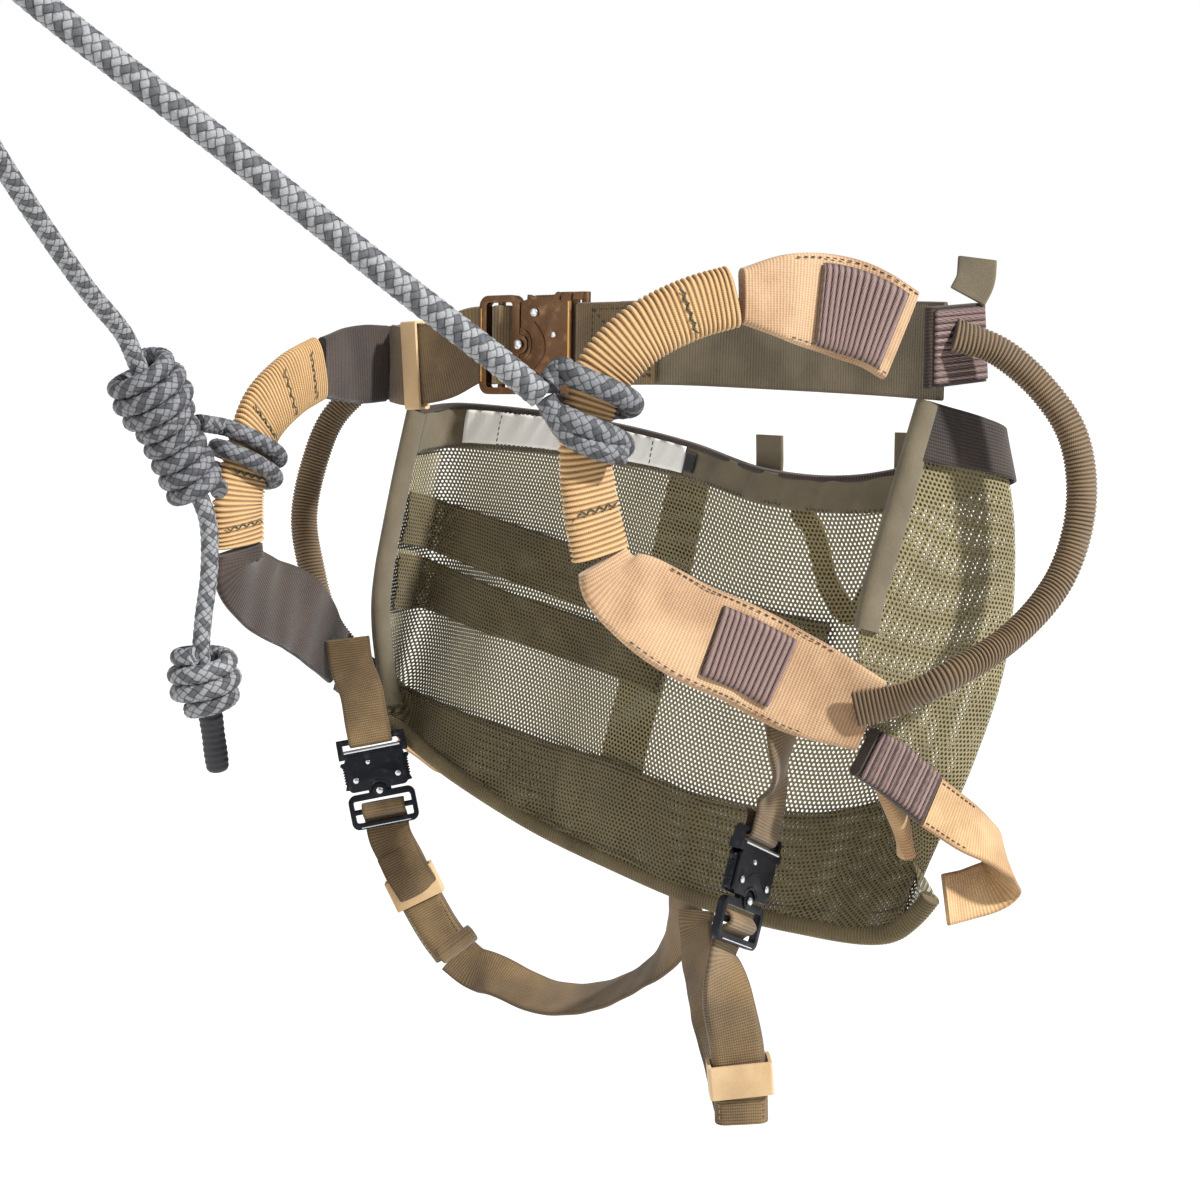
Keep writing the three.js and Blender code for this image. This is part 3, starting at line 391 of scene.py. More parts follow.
@dataclass(frozen=True)
class OpenMesh(Finish):
    """Knitted mesh with staggered round holes; doubled mesh is nearly closed and its holes carry painted
    shade.
    """

    name: str
    light: Colour
    dark: Colour
    pitch: float = 2.5
    hole: float = 0.86
    doubled: bool = False

    def build(self, bench: Bench) -> None:
        """Fills the bench's material."""
        across, along = bench.flat()
        lean = across / self.pitch
        rise = along / (self.pitch * 0.86)
        odd = (rise.floor() * 0.5).part()
        x = (lean + odd).part() - 0.5
        y = rise.part() - 0.5
        far = (x * x + y * y * 0.8) ** 0.5 * self.pitch
        thread = far.ease(self.hole * 0.78, self.hole * 1.02)
        fibre = bench.noise(0.7, 2.0)
        blotches = bench.noise(30.0, 4.0)
        share = blotches * 0.7 + fibre * 0.35 + thread * 0.2 - 0.25
        cloth = bench.blend(share, self.dark, self.light)
        if self.doubled:
            # painted shade: the doubled mesh's holes are darkened to near black, for the shadow between its
            # layers
            shade = bench.blend(thread * 0.75 + 0.25, rgb(0x231D12), cloth)
            bench.set(Base_Color=shade, Roughness=0.9)
            bench.set(Alpha=(thread + 0.62).least(1.0))
        else:
            bench.set(Base_Color=cloth, Roughness=0.9, Alpha=thread)
        bench.set(Sheen_Weight=0.15)
        bench.relief(thread * 0.7 + fibre * 0.3, 0.4)


@dataclass(frozen=True)
class Canvas(Finish):
    """Plain woven cloth, used for the top band, bindings and tags."""

    name: str
    light: Colour
    dark: Colour
    thread: float = 0.8

    def build(self, bench: Bench) -> None:
        """Fills the bench's material."""
        across, along = bench.flat()
        weave = (across * (TURN / self.thread)).sin() * (along * (TURN / self.thread)).sin() * 0.5 + 0.5
        blotches = bench.noise(24.0, 5.0)
        fibre = bench.noise(1.0, 3.0)
        share = weave * 0.3 + blotches * 0.75 + fibre * 0.25 - 0.25
        bench.set(Base_Color=bench.blend(share, self.dark, self.light), Roughness=0.92)
        bench.set(Sheen_Weight=0.2)
        bench.relief(weave * 0.7 + fibre * 0.4, 0.3)


@dataclass(frozen=True)
class Tack(Finish):
    """Dense bar-tacking: thread laid in rows across the strap, shiny on its ridges, with painted shade in
    the valleys between them.
    """

    name: str
    light: Colour
    dark: Colour
    rib: float = 3.0

    def build(self, bench: Bench) -> None:
        """Fills the bench's material."""
        across, along = bench.flat()
        crest = (along * (TURN / self.rib)).cos() * -0.5 + 0.5
        threads = ((along + across * 0.12) * (TURN / 0.55)).sin() * 0.5 + 0.5
        fuzz = bench.noise(0.8, 3.0)
        # painted shade and light: the valleys between the ridges are darkened and the ridges lightened
        share = crest * 0.75 + threads * 0.2 + fuzz * 0.4 - 0.25
        bench.set(Base_Color=bench.blend(share, self.dark, self.light), Roughness=0.75 - crest * 0.2)
        bench.relief(threads * 0.6 + fuzz * 0.5, 0.3)


@dataclass(frozen=True)
class Braid(Finish):
    """Twelve-strand braid: light and dark strands cross over, with painted shade between the strands. UV
    runs round (0 to 1) and along.
    """

    name: str
    light: Colour
    dark: Colour
    strands: int = 6
    lay: float = 34.0

    def build(self, bench: Bench) -> None:
        """Fills the bench's material."""
        around, along = bench.flat()
        turn = around * (self.strands / 1000.0)
        travel = along * (self.strands / self.lay)
        right = turn + travel
        left = turn - travel
        top = ((right.floor() + left.floor()) * 0.5).part().over(0.25)
        cross = left.part() + (right.part() - left.part()) * top
        number = left.floor() * (1.0 - top) + right.floor() * top
        pale = (number * GOLDEN_SHARE + 0.13).part().over(0.35)
        # painted shade: each strand's edges darken to near black where it dips under its neighbours
        rim = (cross - 0.5).abs().ease(0.24, 0.5)
        fibre = bench.noise(0.6, 3.0)
        grime = bench.noise(15.0, 3.0)
        strand = bench.blend(pale * 0.85, self.dark, self.light)
        mottled = bench.blend(fibre * 0.6 - 0.2, strand, rgb(0x1B1C20))
        body = bench.blend(rim * 0.85, mottled, rgb(0x08080A))
        bench.set(Base_Color=bench.blend(grime * 0.15, body, rgb(0x4A4845)), Roughness=0.62)
        bench.relief(fibre, 0.35)


@dataclass(frozen=True)
class Metal(Finish):
    """Plated or anodised metal with fine brushing, worn paler in patches by noise."""

    name: str
    colour: Colour
    worn: Colour
    rough: float = 0.3
    metallic: float = 1.0
    grain: float = 1.0

    def build(self, bench: Bench) -> None:
        """Fills the bench's material."""
        brushed = bench.noise(0.5, 2.0, (1.0, 1.0, 9.0))
        scuff = bench.noise(5.0, 6.0).ease(0.52, 0.8)
        tint = bench.noise(14.0, 3.0)
        colour = bench.blend(scuff * 0.5 + tint * 0.25, self.colour, self.worn)
        bench.set(
            Base_Color=colour, Metallic=self.metallic, Roughness=brushed * 0.18 * self.grain + self.rough
        )
        bench.relief(brushed, 0.03)


@dataclass(frozen=True)
class Plastic(Finish):
    """Moulded or shrunk plastic with a fine grain."""

    name: str
    colour: Colour
    rough: float = 0.45

    def build(self, bench: Bench) -> None:
        """Fills the bench's material."""
        grain = bench.noise(0.6, 3.0)
        scuff = bench.noise(8.0, 4.0)
        pale = tuple(min(1.0, c * 1.8 + 0.02) for c in self.colour[:3]) + (1.0,)
        bench.set(
            Base_Color=bench.blend(scuff * 0.35, self.colour, pale), Roughness=grain * 0.2 + self.rough
        )
        bench.relief(grain, 0.12)


@dataclass(frozen=True)
class BlankLabel(Finish):
    """A blank white woven label with a dark dashed seam inside its edge."""

    name: str
    width: float
    height: float

    def build(self, bench: Bench) -> None:
        """Fills the bench's material."""
        across, along = bench.flat()
        inset = (across.abs() * -1.0 + self.width / 2).least(along.abs() * -1.0 + self.height / 2)
        seam = (inset - 2.4).abs().under(0.42)
        run = ((across + along) * (1 / 3.4)).part().under(0.62)
        fibre = bench.noise(1.0, 3.0)
        # painted shade: soft grey patches stand for the shade in the label's creases
        crease = bench.noise(30.0, 3.0)
        cloth = bench.blend(crease * 0.4 + fibre * 0.2 - 0.1, rgb(0xF4F3EF), rgb(0xCFCBC0))
        bench.set(Base_Color=bench.blend(seam * run, cloth, rgb(0x33302B)), Roughness=0.7)
        bench.relief(fibre, 0.1)


@dataclass(frozen=True)
class Paint(Finish):
    """A soft studio surface."""

    name: str
    colour: Colour

    def build(self, bench: Bench) -> None:
        """Fills the bench's material."""
        mottle = bench.noise(400.0, 2.0)
        pale = tuple(c * 0.985 for c in self.colour[:3]) + (1.0,)
        bench.set(Base_Color=bench.blend(mottle, self.colour, pale), Roughness=0.95)


TAN = Webbing("tan", rgb(0xD3B08A), rgb(0x8A6544), rib=1.6)
TAN_NARROW = Webbing("tan_narrow", rgb(0xD8B585), rgb(0x8F6840), rib=1.8, half=12.5)
SLEEVE = Ribbed("sleeve_tan", rgb(0xDDB67F), rgb(0x7D5730))
COYOTE = Webbing("coyote", rgb(0x8C7450), rgb(0x463521), rib=1.5)
COYOTE_NARROW = Webbing("coyote_narrow", rgb(0x8B7048), rgb(0x3F2F1C), rib=1.4, half=12.5)
# painted shade: a darkened copy of the tan webbing for the far bridge straps' shaded inner faces and the
# near corner patch; the corner stacks and the top piping use it as well
SHADE_WEBBING = Webbing("dark_brown", rgb(0x47352A), rgb(0x17100B), rib=1.6)
BELT_OLIVE = Webbing("belt_olive", rgb(0x857860), rgb(0x4A402E), rib=1.7)
LOOP_COYOTE = Ribbed("loop_coyote", rgb(0x8A6F4C), rgb(0x2F2316), rib=1.9)
SEAT_MESH = OpenMesh("seat", rgb(0xA3976F), rgb(0x5D5234))
DOUBLE_MESH = OpenMesh("doubled", rgb(0x83754E), rgb(0x40361F), doubled=True)
OLIVE_CANVAS = Canvas("olive", rgb(0x8F8268), rgb(0x4A4130))
BINDING = Canvas("binding", rgb(0x8D7C57), rgb(0x463A23), thread=1.4)
PURPLE_TACK = Tack("brown_purple", rgb(0x9C8078), rgb(0x2B1D1F))
BRONZE = Metal("bronze", rgb(0x5E4432), rgb(0xA98663), rough=0.3)
GOLD = Metal("gold_rim", rgb(0xD9A35E), rgb(0xF5D9A8), rough=0.22)
CHROME = Metal("chrome", rgb(0xD5D6DA), rgb(0xFFFFFF), rough=0.12)
BLACK = Metal("black", rgb(0x17181C), rgb(0x4A4C54), rough=0.32, metallic=0.85)
STEEL = Metal("steel", rgb(0xA9ACB2), rgb(0xE2E4E8), rough=0.25)
ROPE = Braid("charcoal", rgb(0xA6A7AA), rgb(0x5A5B60), lay=26.0)
HITCH_ROPE = Braid("charcoal_dark", rgb(0x8A8B8F), rgb(0x4A4B50), lay=24.0)
RUBBER = Plastic("shrink_tube", rgb(0x1C1D22))
KEEPER_TAN = Webbing("elastic_tan", rgb(0xD6B68A), rgb(0x9C7A4E), rib=0.9, half=30.0)
THREAD_DARK = Canvas("thread_dark", rgb(0x4B3A2E), rgb(0x2A2019), thread=0.5)
THREAD_GREEN = Canvas("thread_green", rgb(0x4C5A3A), rgb(0x2A3320), thread=0.5)
THREAD_TAN = Canvas("thread_tan", rgb(0xC9A87A), rgb(0x8D6B43), thread=0.5)
BLACK_TAG = Canvas("black_tag", rgb(0x2A2C33), rgb(0x121318), thread=0.6)


# ---------- modelling ----------
def deselect() -> None:
    """Leaves edit mode and deselects everything."""
    if bpy.context.object and bpy.context.object.mode != "OBJECT":
        bpy.ops.object.mode_set(mode="OBJECT")
    bpy.ops.object.select_all(action="DESELECT")


@contextmanager
def editing() -> Iterator[None]:
    """Holds the active piece in edit mode with all of it selected."""
    bpy.ops.object.mode_set(mode="EDIT")
    bpy.ops.mesh.select_all(action="SELECT")
    yield
    bpy.ops.object.mode_set(mode="OBJECT")


def pick(piece: Piece) -> Piece:
    """Makes the piece the only one selected, and the active one, and returns it."""
    deselect()
    piece.select_set(True)
    bpy.context.view_layer.objects.active = piece
    return piece


def settle(piece: Piece) -> Piece:
    """Applies the piece's modifiers in order and returns it."""
    pick(piece)
    for modifier in list(piece.modifiers):
        bpy.ops.object.modifier_apply(modifier=modifier.name)
    return piece


def dress(piece: Piece, finish: Finish, slot: str, body: Body = Body.SADDLE, node: str = "") -> Piece:
    """Gives a piece its finish and the body that it rides on, and hides the CAD node that it stands for.

    Args:
        piece: The piece.
        finish: What it is made of.
        slot: The record's slot; not used.
        body: The body.
        node: The CAD node that it stands for, if there is one.

    Returns:
        The piece.
    """
    piece.data.materials.clear()
    piece.data.materials.append(finish.material())
    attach(piece, body.value)
    if node:
        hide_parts(node)
    log.info("%s: %d faces, rides on %s", piece.name, len(piece.data.polygons), body.value)
    return piece


@dataclass(frozen=True)
class Station:
    """A place on a strap: its middle, the way that it faces, its width and thickness in millimetres."""

    at: Point
    face: Point
    width: float
    thick: float = WEBBING_THICK


def spline(points: Array, share: Array) -> Array:
    """Returns places on centripetal splines.

    Args:
        points: (knots, n or 1, values) knots of n splines; the first three values space the knots.
        share: n shares along them, from 0 to 1.

    Returns:
        (n, values) places.
    """
    points = np.broadcast_to(points, (len(points), len(share), points.shape[-1]))
    ends = [2 * points[:1] - points[1:2], points, 2 * points[-1:] - points[-2:-1]]
    table = np.concatenate(ends)
    place = np.clip(share, 0, 1) * (len(points) - 1)
    index = np.minimum(place.astype(int), len(points) - 2)
    t = (place - index)[:, None]
    n = np.arange(len(share))
    a, b, c, d = (table[index + k, n] for k in range(4))
    gaps = [np.linalg.norm((q - p)[:, :3], axis=1) for p, q in ((a, b), (b, c), (c, d))]
    first, middle, last = (np.maximum(gap, 1e-6)[:, None] ** 0.5 for gap in gaps)
    start = ((b - a) / first - (c - a) / (first + middle) + (c - b) / middle) * middle
    end = ((c - b) / middle - (d - b) / (middle + last) + (d - c) / last) * middle
    smooth = (2 * t**3 - 3 * t**2 + 1) * b + (t**3 - 2 * t**2 + t) * start
    return smooth + (3 * t**2 - 2 * t**3) * c + (t**3 - t**2) * end


def metres(places: Array) -> Array:
    """Returns places of the saddle's frame in the shared frame, in metres."""
    return (places + SADDLE) * MM


def measure(line: Array) -> Array:
    """Returns the distance along a line at each of its points."""
    return np.concatenate([[0.0], np.cumsum(np.linalg.norm(np.diff(line, axis=0), axis=1))])


@dataclass
class Route:
    """A smooth line through stations, with the way that the strap faces, its width and its thickness.

    Attributes:
        stations: The stations, in the saddle's own frame.
        spans: Samples between two stations before the line is spaced evenly.
    """

    stations: Sequence[Station]
    spans: int = 24
    rows: Array = field(init=False)
    run: Array = field(init=False)
    length: float = field(init=False)

    def __post_init__(self) -> None:
        """Runs a centripetal spline through the stations and measures it."""
        table = np.array([[*s.at, *unit(s.face), s.width, s.thick] for s in self.stations], float)
        self.rows = spline(table[:, None], np.linspace(0, 1, self.spans * (len(table) - 1) + 1))
        self.run = measure(self.rows[:, :3])
        self.length = float(self.run[-1])

    def even(self, count: int) -> dict[str, Array]:
        """Returns count places spaced evenly along the line.

        Args:
            count: How many.

        Returns:
            The places' middle, along, side, out (the way that the strap faces), width, thick and run.
        """
        run = np.linspace(0, self.length, count)
        table = np.stack([np.interp(run, self.run, column) for column in self.rows.T], axis=1)
        middle = table[:, :3]
        along = np.gradient(middle, axis=0)
        along /= np.linalg.norm(along, axis=1)[:, None]
        side = np.cross(along, table[:, 3:6])
        side /= np.linalg.norm(side, axis=1)[:, None]
        out = np.cross(side, along)
        names = ("middle", "along", "side", "out", "width", "thick", "run")
        return dict(zip(names, (middle, along, side, out, table[:, 6], table[:, 7], run)))


Warp = Callable[[Array, Array], Array]


def lay_grid(name: str, places: Array, flat: Array, closed: bool, crease: float = 40.0) -> Piece:
    """Shapes a primitive grid into a surface and closes it.

    Args:
        name: The piece's name.
        places: (rows, columns, 3) points in metres.
        flat: (rows, columns, 2) UV values in metres.
        closed: Whether the first and last columns meet, so that the seam is merged and the ends are filled.
        crease: Edges sharper than this many degrees stay sharp.

    Returns:
        The piece.
    """
    rows, columns = places.shape[:2]
    deselect()
    bpy.ops.mesh.primitive_grid_add(x_subdivisions=columns - 1, y_subdivisions=rows - 1, size=2)
    piece = bpy.context.object
    piece.name = piece.data.name = name
    mesh = piece.data
    spot = np.empty(len(mesh.vertices) * 3)
    mesh.vertices.foreach_get("co", spot)
    spot = spot.reshape(-1, 3)
    column = np.rint((spot[:, 0] + 1) / 2 * (columns - 1)).astype(int)
    row = np.rint((spot[:, 1] + 1) / 2 * (rows - 1)).astype(int)
    mesh.vertices.foreach_set("co", places[row, column].ravel())
    corner = np.empty(len(mesh.loops), int)
    mesh.loops.foreach_get("vertex_index", corner)
    layer = mesh.uv_layers[0]
    layer.name = "UVMap"
    layer.data.foreach_set("uv", flat[row[corner], column[corner]].ravel())
    mesh.update()
    if closed:
        with editing():
            bpy.ops.mesh.remove_doubles(threshold=WELD)
            bpy.ops.mesh.select_all(action="DESELECT")
            bpy.ops.mesh.select_non_manifold()
            bpy.ops.mesh.fill_holes(sides=0)
            bpy.ops.mesh.select_all(action="SELECT")
            bpy.ops.mesh.normals_make_consistent(inside=False)
    bpy.ops.object.shade_smooth_by_angle(angle=radians(crease))
    return piece


def thicken(piece: Piece, thick: float) -> Piece:
    """Gives an open sheet a thickness in millimetres, faces it outward and returns it."""
    cloth = piece.modifiers.new("cloth", "SOLIDIFY")
    cloth.thickness = thick * MM
    cloth.offset = 0
    settle(piece)
    with editing():
        bpy.ops.mesh.normals_make_consistent(inside=False)
    return piece


def flat_section(width: float, thick: float, across: int = 12) -> tuple[Array, Array]:
    """Returns a strap's rounded outline, closed, as points (across, through), and its places across."""
    half, round_ = width / 2, thick / 2
    top = [(x, round_) for x in np.linspace(-half + round_, half - round_, across)]
    bend = [radians(a) for a in (60, 30, 0, -30, -60)]
    right = [(half - round_ + round_ * cos(a), round_ * sin(a)) for a in bend]
    lower = [(-x, -y) for x, y in top]
    left = [(-x, -y) for x, y in right]
    points = np.array([*top, *right, *lower, *left, top[0]])
    return points, points[:, 0]


def round_section(width: float, thick: float, sides: int = 24, box: float = 2.0) -> tuple[Array, Array]:
    """Returns an oval outline, closed, as points (across, through) and their way round it.

    Args:
        width: Its width.
        thick: Its thickness.
        sides: Its number of sides.
        box: 2 for an ellipse; more makes it squarer.

    Returns:
        The points and the distance round the outline.
    """
    angle = np.linspace(0, TURN, sides + 1)
    shape = np.stack([np.cos(angle), np.sin(angle)], axis=1)
    shape = np.sign(shape) * np.abs(shape) ** (2 / box)
    points = shape * [width / 2, thick / 2]
    return points, measure(points)


def sweep(
    name: str, route: Route, step: float, oval: bool = False, warp: Warp | None = None, box: float = 2.6
) -> Piece:
    """Lays a strap or a sleeve along a route.

    Args:
        name: The piece's name.
        route: The route.
        step: The distance between rings, in millimetres.
        oval: Whether the section is a sleeve's oval or a strap's flat outline.
        warp: How far each point stands out, from its share across (-1 to 1) and its run in millimetres.
        box: How square an oval section is.

    Returns:
        The piece.
    """
    count = max(4, int(route.length / step) + 1)
    line = route.even(count)
    places, flat = [], []
    for i in range(count):
        width, thick = line["width"][i], line["thick"][i]
        points, across = round_section(width, thick, 28, box) if oval else flat_section(width, thick)
        share = points[:, 0] / (width / 2)
        lift = warp(share, np.full(len(share), line["run"][i])) if warp else np.zeros(len(share))
        if oval:
            points = points * (1 + lift / (thick / 2))[:, None]
            lift = np.zeros(len(share))
        through = (points[:, 1:] + lift[:, None]) * line["out"][i]
        spot = line["middle"][i] + points[:, :1] * line["side"][i] + through
        places.append(spot)
        flat.append(np.stack([across, np.full(len(across), line["run"][i])], axis=1))
    return lay_grid(name, (np.array(places) + SADDLE) * MM, np.array(flat) * MM, True)


def rib_warp(pitch: float, depth: float) -> Warp:
    """Returns a warp that raises rounded cross ribs."""
    return lambda share, run: depth * (np.abs(np.sin(np.pi * run / pitch)) ** 0.7 - 0.5)


def ripple_warp(size: float, depth: float, phase: float = 0.0) -> Warp:
    """Returns a warp that gives a strap a slow wave and a slight cup across it."""

    def warp(share: Array, run: Array) -> Array:
        """Returns the lift."""
        quick = np.sin(run * TURN / (size * 0.43) + share * 1.7 + phase)
        wave = np.sin(run * TURN / size + phase) * 0.6 + quick
        return depth * (wave * 0.6 - share**2 * 0.8)

    return warp


@dataclass
class Threads:
    """Rows of stitches: short lengths of thread laid on a surface.

    Attributes:
        name: The piece's name.
        finish: The thread.
        size: A stitch's length, width and height in millimetres.
        spots: Each stitch's axes and place.
    """

    name: str
    finish: Finish
    size: Point = (2.6, 0.7, 0.55)
    spots: list[Array] = field(default_factory=list)

    def add(self, at: Array, along: Array, out: Array) -> None:
        """Adds one stitch at a point, lying along a direction with out pointing off the surface."""
        ahead = unit(along)
        side = unit(np.cross(out, ahead))
        self.spots.append(np.column_stack([ahead, side, np.cross(ahead, side), np.asarray(at, float)]))

    def row(self, line: dict[str, Array], share: float, start: float, end: float, lift: float) -> None:
        """Adds a row of stitches along a strap.

        Args:
            line: The strap's places, as Route.even gives them.
            share: Where across it, from -1 to 1.
            start: Where the row starts, in millimetres along it.
            end: Where it ends.
            lift: How far off the strap's middle surface.
        """
        for run in np.arange(start, end, self.size[0] * STITCH_SPACING):
            self.point(line, share, run, lift)

    def point(self, line: dict, share: float, run: float, lift: float, turn: float = 0.0) -> None:
        """Adds a stitch at a place on a strap, turned by an angle from its length."""
        place = {key: self.read(line, key, run) for key in ("middle", "along", "side", "out")}
        half = float(np.interp(run, line["run"], line["width"])) / 2
        at = place["middle"] + place["side"] * share * half + place["out"] * lift
        ahead = place["along"] * cos(turn) + place["side"] * sin(turn)
        self.add(at, ahead, place["out"] * copysign(1.0, lift))

    @staticmethod
    def read(line: dict[str, Array], key: str, run: float) -> Array:
        """Returns one of a line's vectors at a run."""
        return np.array([np.interp(run, line["run"], column) for column in line[key].T])

    def zigzag(self, line: dict, run: float, lift: float, reach: float) -> None:
        """Adds a zigzag of stitches across a strap at a run."""
        for i in range(ZIGZAG_STITCHES):
            share = -reach + 2 * reach * (i + 0.5) / ZIGZAG_STITCHES
            self.point(line, share, run, lift, radians(90 + (38 if i % 2 else -38)))

    def build(self, slot: str = "dark_webbing", body: Body = Body.SADDLE) -> Piece:
        """Models one stitch, copies it to every place and dresses the row."""
        deselect()
        bpy.ops.mesh.primitive_uv_sphere_add(segments=6, ring_count=4, radius=0.5)
        stitch = bpy.context.object
        with editing():
            bpy.ops.transform.resize(value=self.size)
        mesh = stitch.data
        points = np.array([v.co for v in mesh.vertices])
        faces = [tuple(p.vertices) for p in mesh.polygons]
        corners, loops = [], []
        for spot in self.spots:
            base = len(corners) * len(points)
            corners.append(points @ spot[:, :3].T + spot[:, 3])
            loops.extend(tuple(base + v for v in face) for face in faces)
        made = bpy.data.meshes.new(self.name)
        made.from_pydata(((np.vstack(corners) + SADDLE) * MM).tolist(), [], loops)
        made.uv_layers.new(name="UVMap")
        made.update()
        piece = bpy.data.objects.new(self.name, made)
        bpy.context.scene.collection.objects.link(piece)
        bpy.data.objects.remove(stitch)
        pick(piece)
        bpy.ops.object.shade_smooth()
        return dress(piece, self.finish, slot, body)


def cad_copy(
    node: str, bevel: float, finish: Finish, slot: str, body: Body, segments: int = 2
) -> Piece:
    """Copies a CAD node, merges it and rounds its edges; the copy stands for the node.

    Args:
        node: The node's name.
        bevel: The edges' width in millimetres.
        finish: The copy's finish.
        slot: The record's slot.
        body: The body that it rides on.
        segments: Steps across each edge.

    Returns:
        The copy.
    """
    piece = frame["nodes"][node].copy()
    piece.data = piece.data.copy()
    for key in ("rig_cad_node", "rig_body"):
        if key in piece:
            del piece[key]
    piece.parent = None
    piece.name = piece.data.name = f"{node}_made"
    bpy.context.scene.collection.objects.link(piece)
    pick(piece)
    with editing():
        bpy.ops.mesh.remove_doubles(threshold=WELD)
        bpy.ops.mesh.dissolve_limited(angle_limit=radians(1.5))
    if bevel:
        edge = piece.modifiers.new("edge", "BEVEL")
        edge.width = bevel * MM
        edge.segments = segments
        edge.limit_method = "ANGLE"
        edge.angle_limit = radians(32)
        edge.use_clamp_overlap = True
        edge.harden_normals = False
    settle(piece)
    bpy.ops.object.shade_smooth_by_angle(angle=radians(35))
    return dress(piece, finish, slot, body, node)


def bow(edge: Sequence[float], share: Array) -> Array:
    """Returns a parabola through three values at shares 0, a half and 1."""
    start, middle, end = edge
    first, last = (1 - share) * (1 - 2 * share), share * (2 * share - 1)
    return start * first + middle * 4 * share * (1 - share) + end * last


def level(down: float) -> Point:
    """Returns a seat piece's edge that lies the same way down all along."""
    return (down, down, down)


@dataclass
class Seat:
    """The mesh sling seat: its panel, bands, bindings, label and gear loop.

    Attributes:
        rows: The outer face's five rows of points, from the top edge to the hem and from the wearer's
            right to the left.
        columns: Equal steps across the seat, which the pieces' edges are counted in.
        panel: The CAD panel's thickness in millimetres.
        band: A band's thickness.
        gap: The air between the panel and a band.
        mesh_lift: How far the mesh's middle lies in from the outer face.
        mesh_thick: The mesh's thickness.
        roll_lift: How far the front edges' rolls lie in from the outer face.
        roll_beside: How far they lie past the seat's edge.
    """

    rows: tuple[tuple[Point, ...], ...] = (
        (
            (-182, 17, 92), (-186, 52, 94), (-122, 71, 90), (-60, 72, 85), (0, 70, 77),
            (60, 68, 66), (122, 72, 68), (192, 80, 92), (186, 28, 108),
        ),
        (
            (-182, 2, 40), (-190, 46, 42), (-122, 56, 42), (-60, 60, 42), (0, 58, 40),
            (60, 62, 32), (122, 72, 30), (197, 88, 45), (186, 6, 58),
        ),
        (
            (-182, -11, -20), (-190, 34, -20), (-122, 32, -22), (-60, 38, -24), (0, 37, -25),
            (60, 46, -32), (122, 60, -36), (197, 86, -10), (186, -15, 0),
        ),
        (
            (-181, -7, -70), (-184, 14, -74), (-118, 12, -80), (-60, 16, -86), (0, 14, -88),
            (60, 24, -98), (122, 44, -98), (193, 66, -65), (184, -2, -58),
        ),
        (
            (-174, -8, -90), (-158, -5, -99), (-112, -3, -115), (-60, 6, -133), (-4, 12, -144),
            (55, 18, -153), (110, 27, -157), (164, 40, -154), (186, 46, -128),
        ),
    )
    columns: int = 32
    panel: float = 3.0
    band: float = 1.6
    gap: float = 0.8
    mesh_lift: float = 1.4
    mesh_thick: float = 0.7
    roll_lift: float = 1.5
    roll_beside: float = 4.6

    def point(self, across: Array, down: Array) -> Array:
        """Returns places on the seat's outer face, across 0 to 1 from far to near and down 0 to 1."""
        knots = [spline(np.array(row, float)[:, None], across) for row in self.rows]
        return spline(np.array(knots), down)

    def out(self, across: Array, down: Array) -> Array:
        """Returns the ways square to the seat, towards the wearer."""
        step = 0.004
        u = self.point(np.minimum(across + step, 1), down) - self.point(np.maximum(across - step, 0), down)
        v = self.point(across, np.minimum(down + step, 1)) - self.point(across, np.maximum(down - step, 0))
        normal = np.cross(v, u)
        return normal / np.linalg.norm(normal, axis=1)[:, None]

    def sheet(
        self,
        name: str,
        first: float,
        last: float,
        top: Sequence[float],
        bottom: Sequence[float],
        offset: float,
        thick: float,
        cells: tuple[int, int],
        fold: Warp | None = None,
        centred: bool = False,
    ) -> Piece:
        """Lays a sheet along the seat.

        Args:
            name: The piece's name.
            first: The column where it starts.
            last: The column where it ends.
            top: How far down its top edge lies at its far end, middle and near end.
            bottom: The same for its bottom edge.
            offset: Its middle's distance from the seat's outer face, towards the wearer.
            thick: Its thickness.
            cells: Its cells along and down.
            fold: How far it stands in, from its shares along and down.
            centred: Whether its UV map starts at its middle.

        Returns:
            The piece.
        """
        i = np.linspace(0, 1, cells[0] + 1)
        j = np.linspace(0, 1, cells[1] + 1)
        along, fall = np.meshgrid(i, j)
        across = (first + (last - first) * along) / self.columns
        high, low = bow(top, along), bow(bottom, along)
        down = high + (low - high) * fall
        shape = across.shape
        point = self.point(across.ravel(), down.ravel())
        out = self.out(across.ravel(), down.ravel())
        lift = np.full(across.size, offset)
        if fold:
            lift = lift + fold(along.ravel(), fall.ravel())
        places = (point + out * lift[:, None]).reshape(*shape, 3)
        u = np.concatenate(
            [np.zeros((shape[0], 1)), np.cumsum(np.linalg.norm(np.diff(places, axis=1), axis=2), 1)], 1
        )
        v = np.concatenate(
            [np.zeros((1, shape[1])), np.cumsum(np.linalg.norm(np.diff(places, axis=0), axis=2), 0)], 0
        )
        u = u - u[:, -1:] / 2
        if centred:
            v = v - v[-1:] / 2
        piece = lay_grid(name, metres(places), np.stack([u, v], axis=2) * MM, False)
        return thicken(piece, thick)

    def edge(self, across: float, top: float, bottom: float, count: int) -> list[tuple]:
        """Returns points along a front edge of the seat, and the ways that they face."""
        down = np.linspace(top, bottom, count)
        flat = np.full(count, across)
        out = self.out(flat, down)
        along = self.point(flat, np.minimum(down + 0.01, 1)) - self.point(flat, np.maximum(down - 0.01, 0))
        away = np.cross(along, out)
        away /= np.linalg.norm(away, axis=1)[:, None]
        away *= 1.0 if across < 0.5 else -1.0
        places = self.point(flat, down) + out * self.roll_lift - away * self.roll_beside
        return list(zip(places, out))

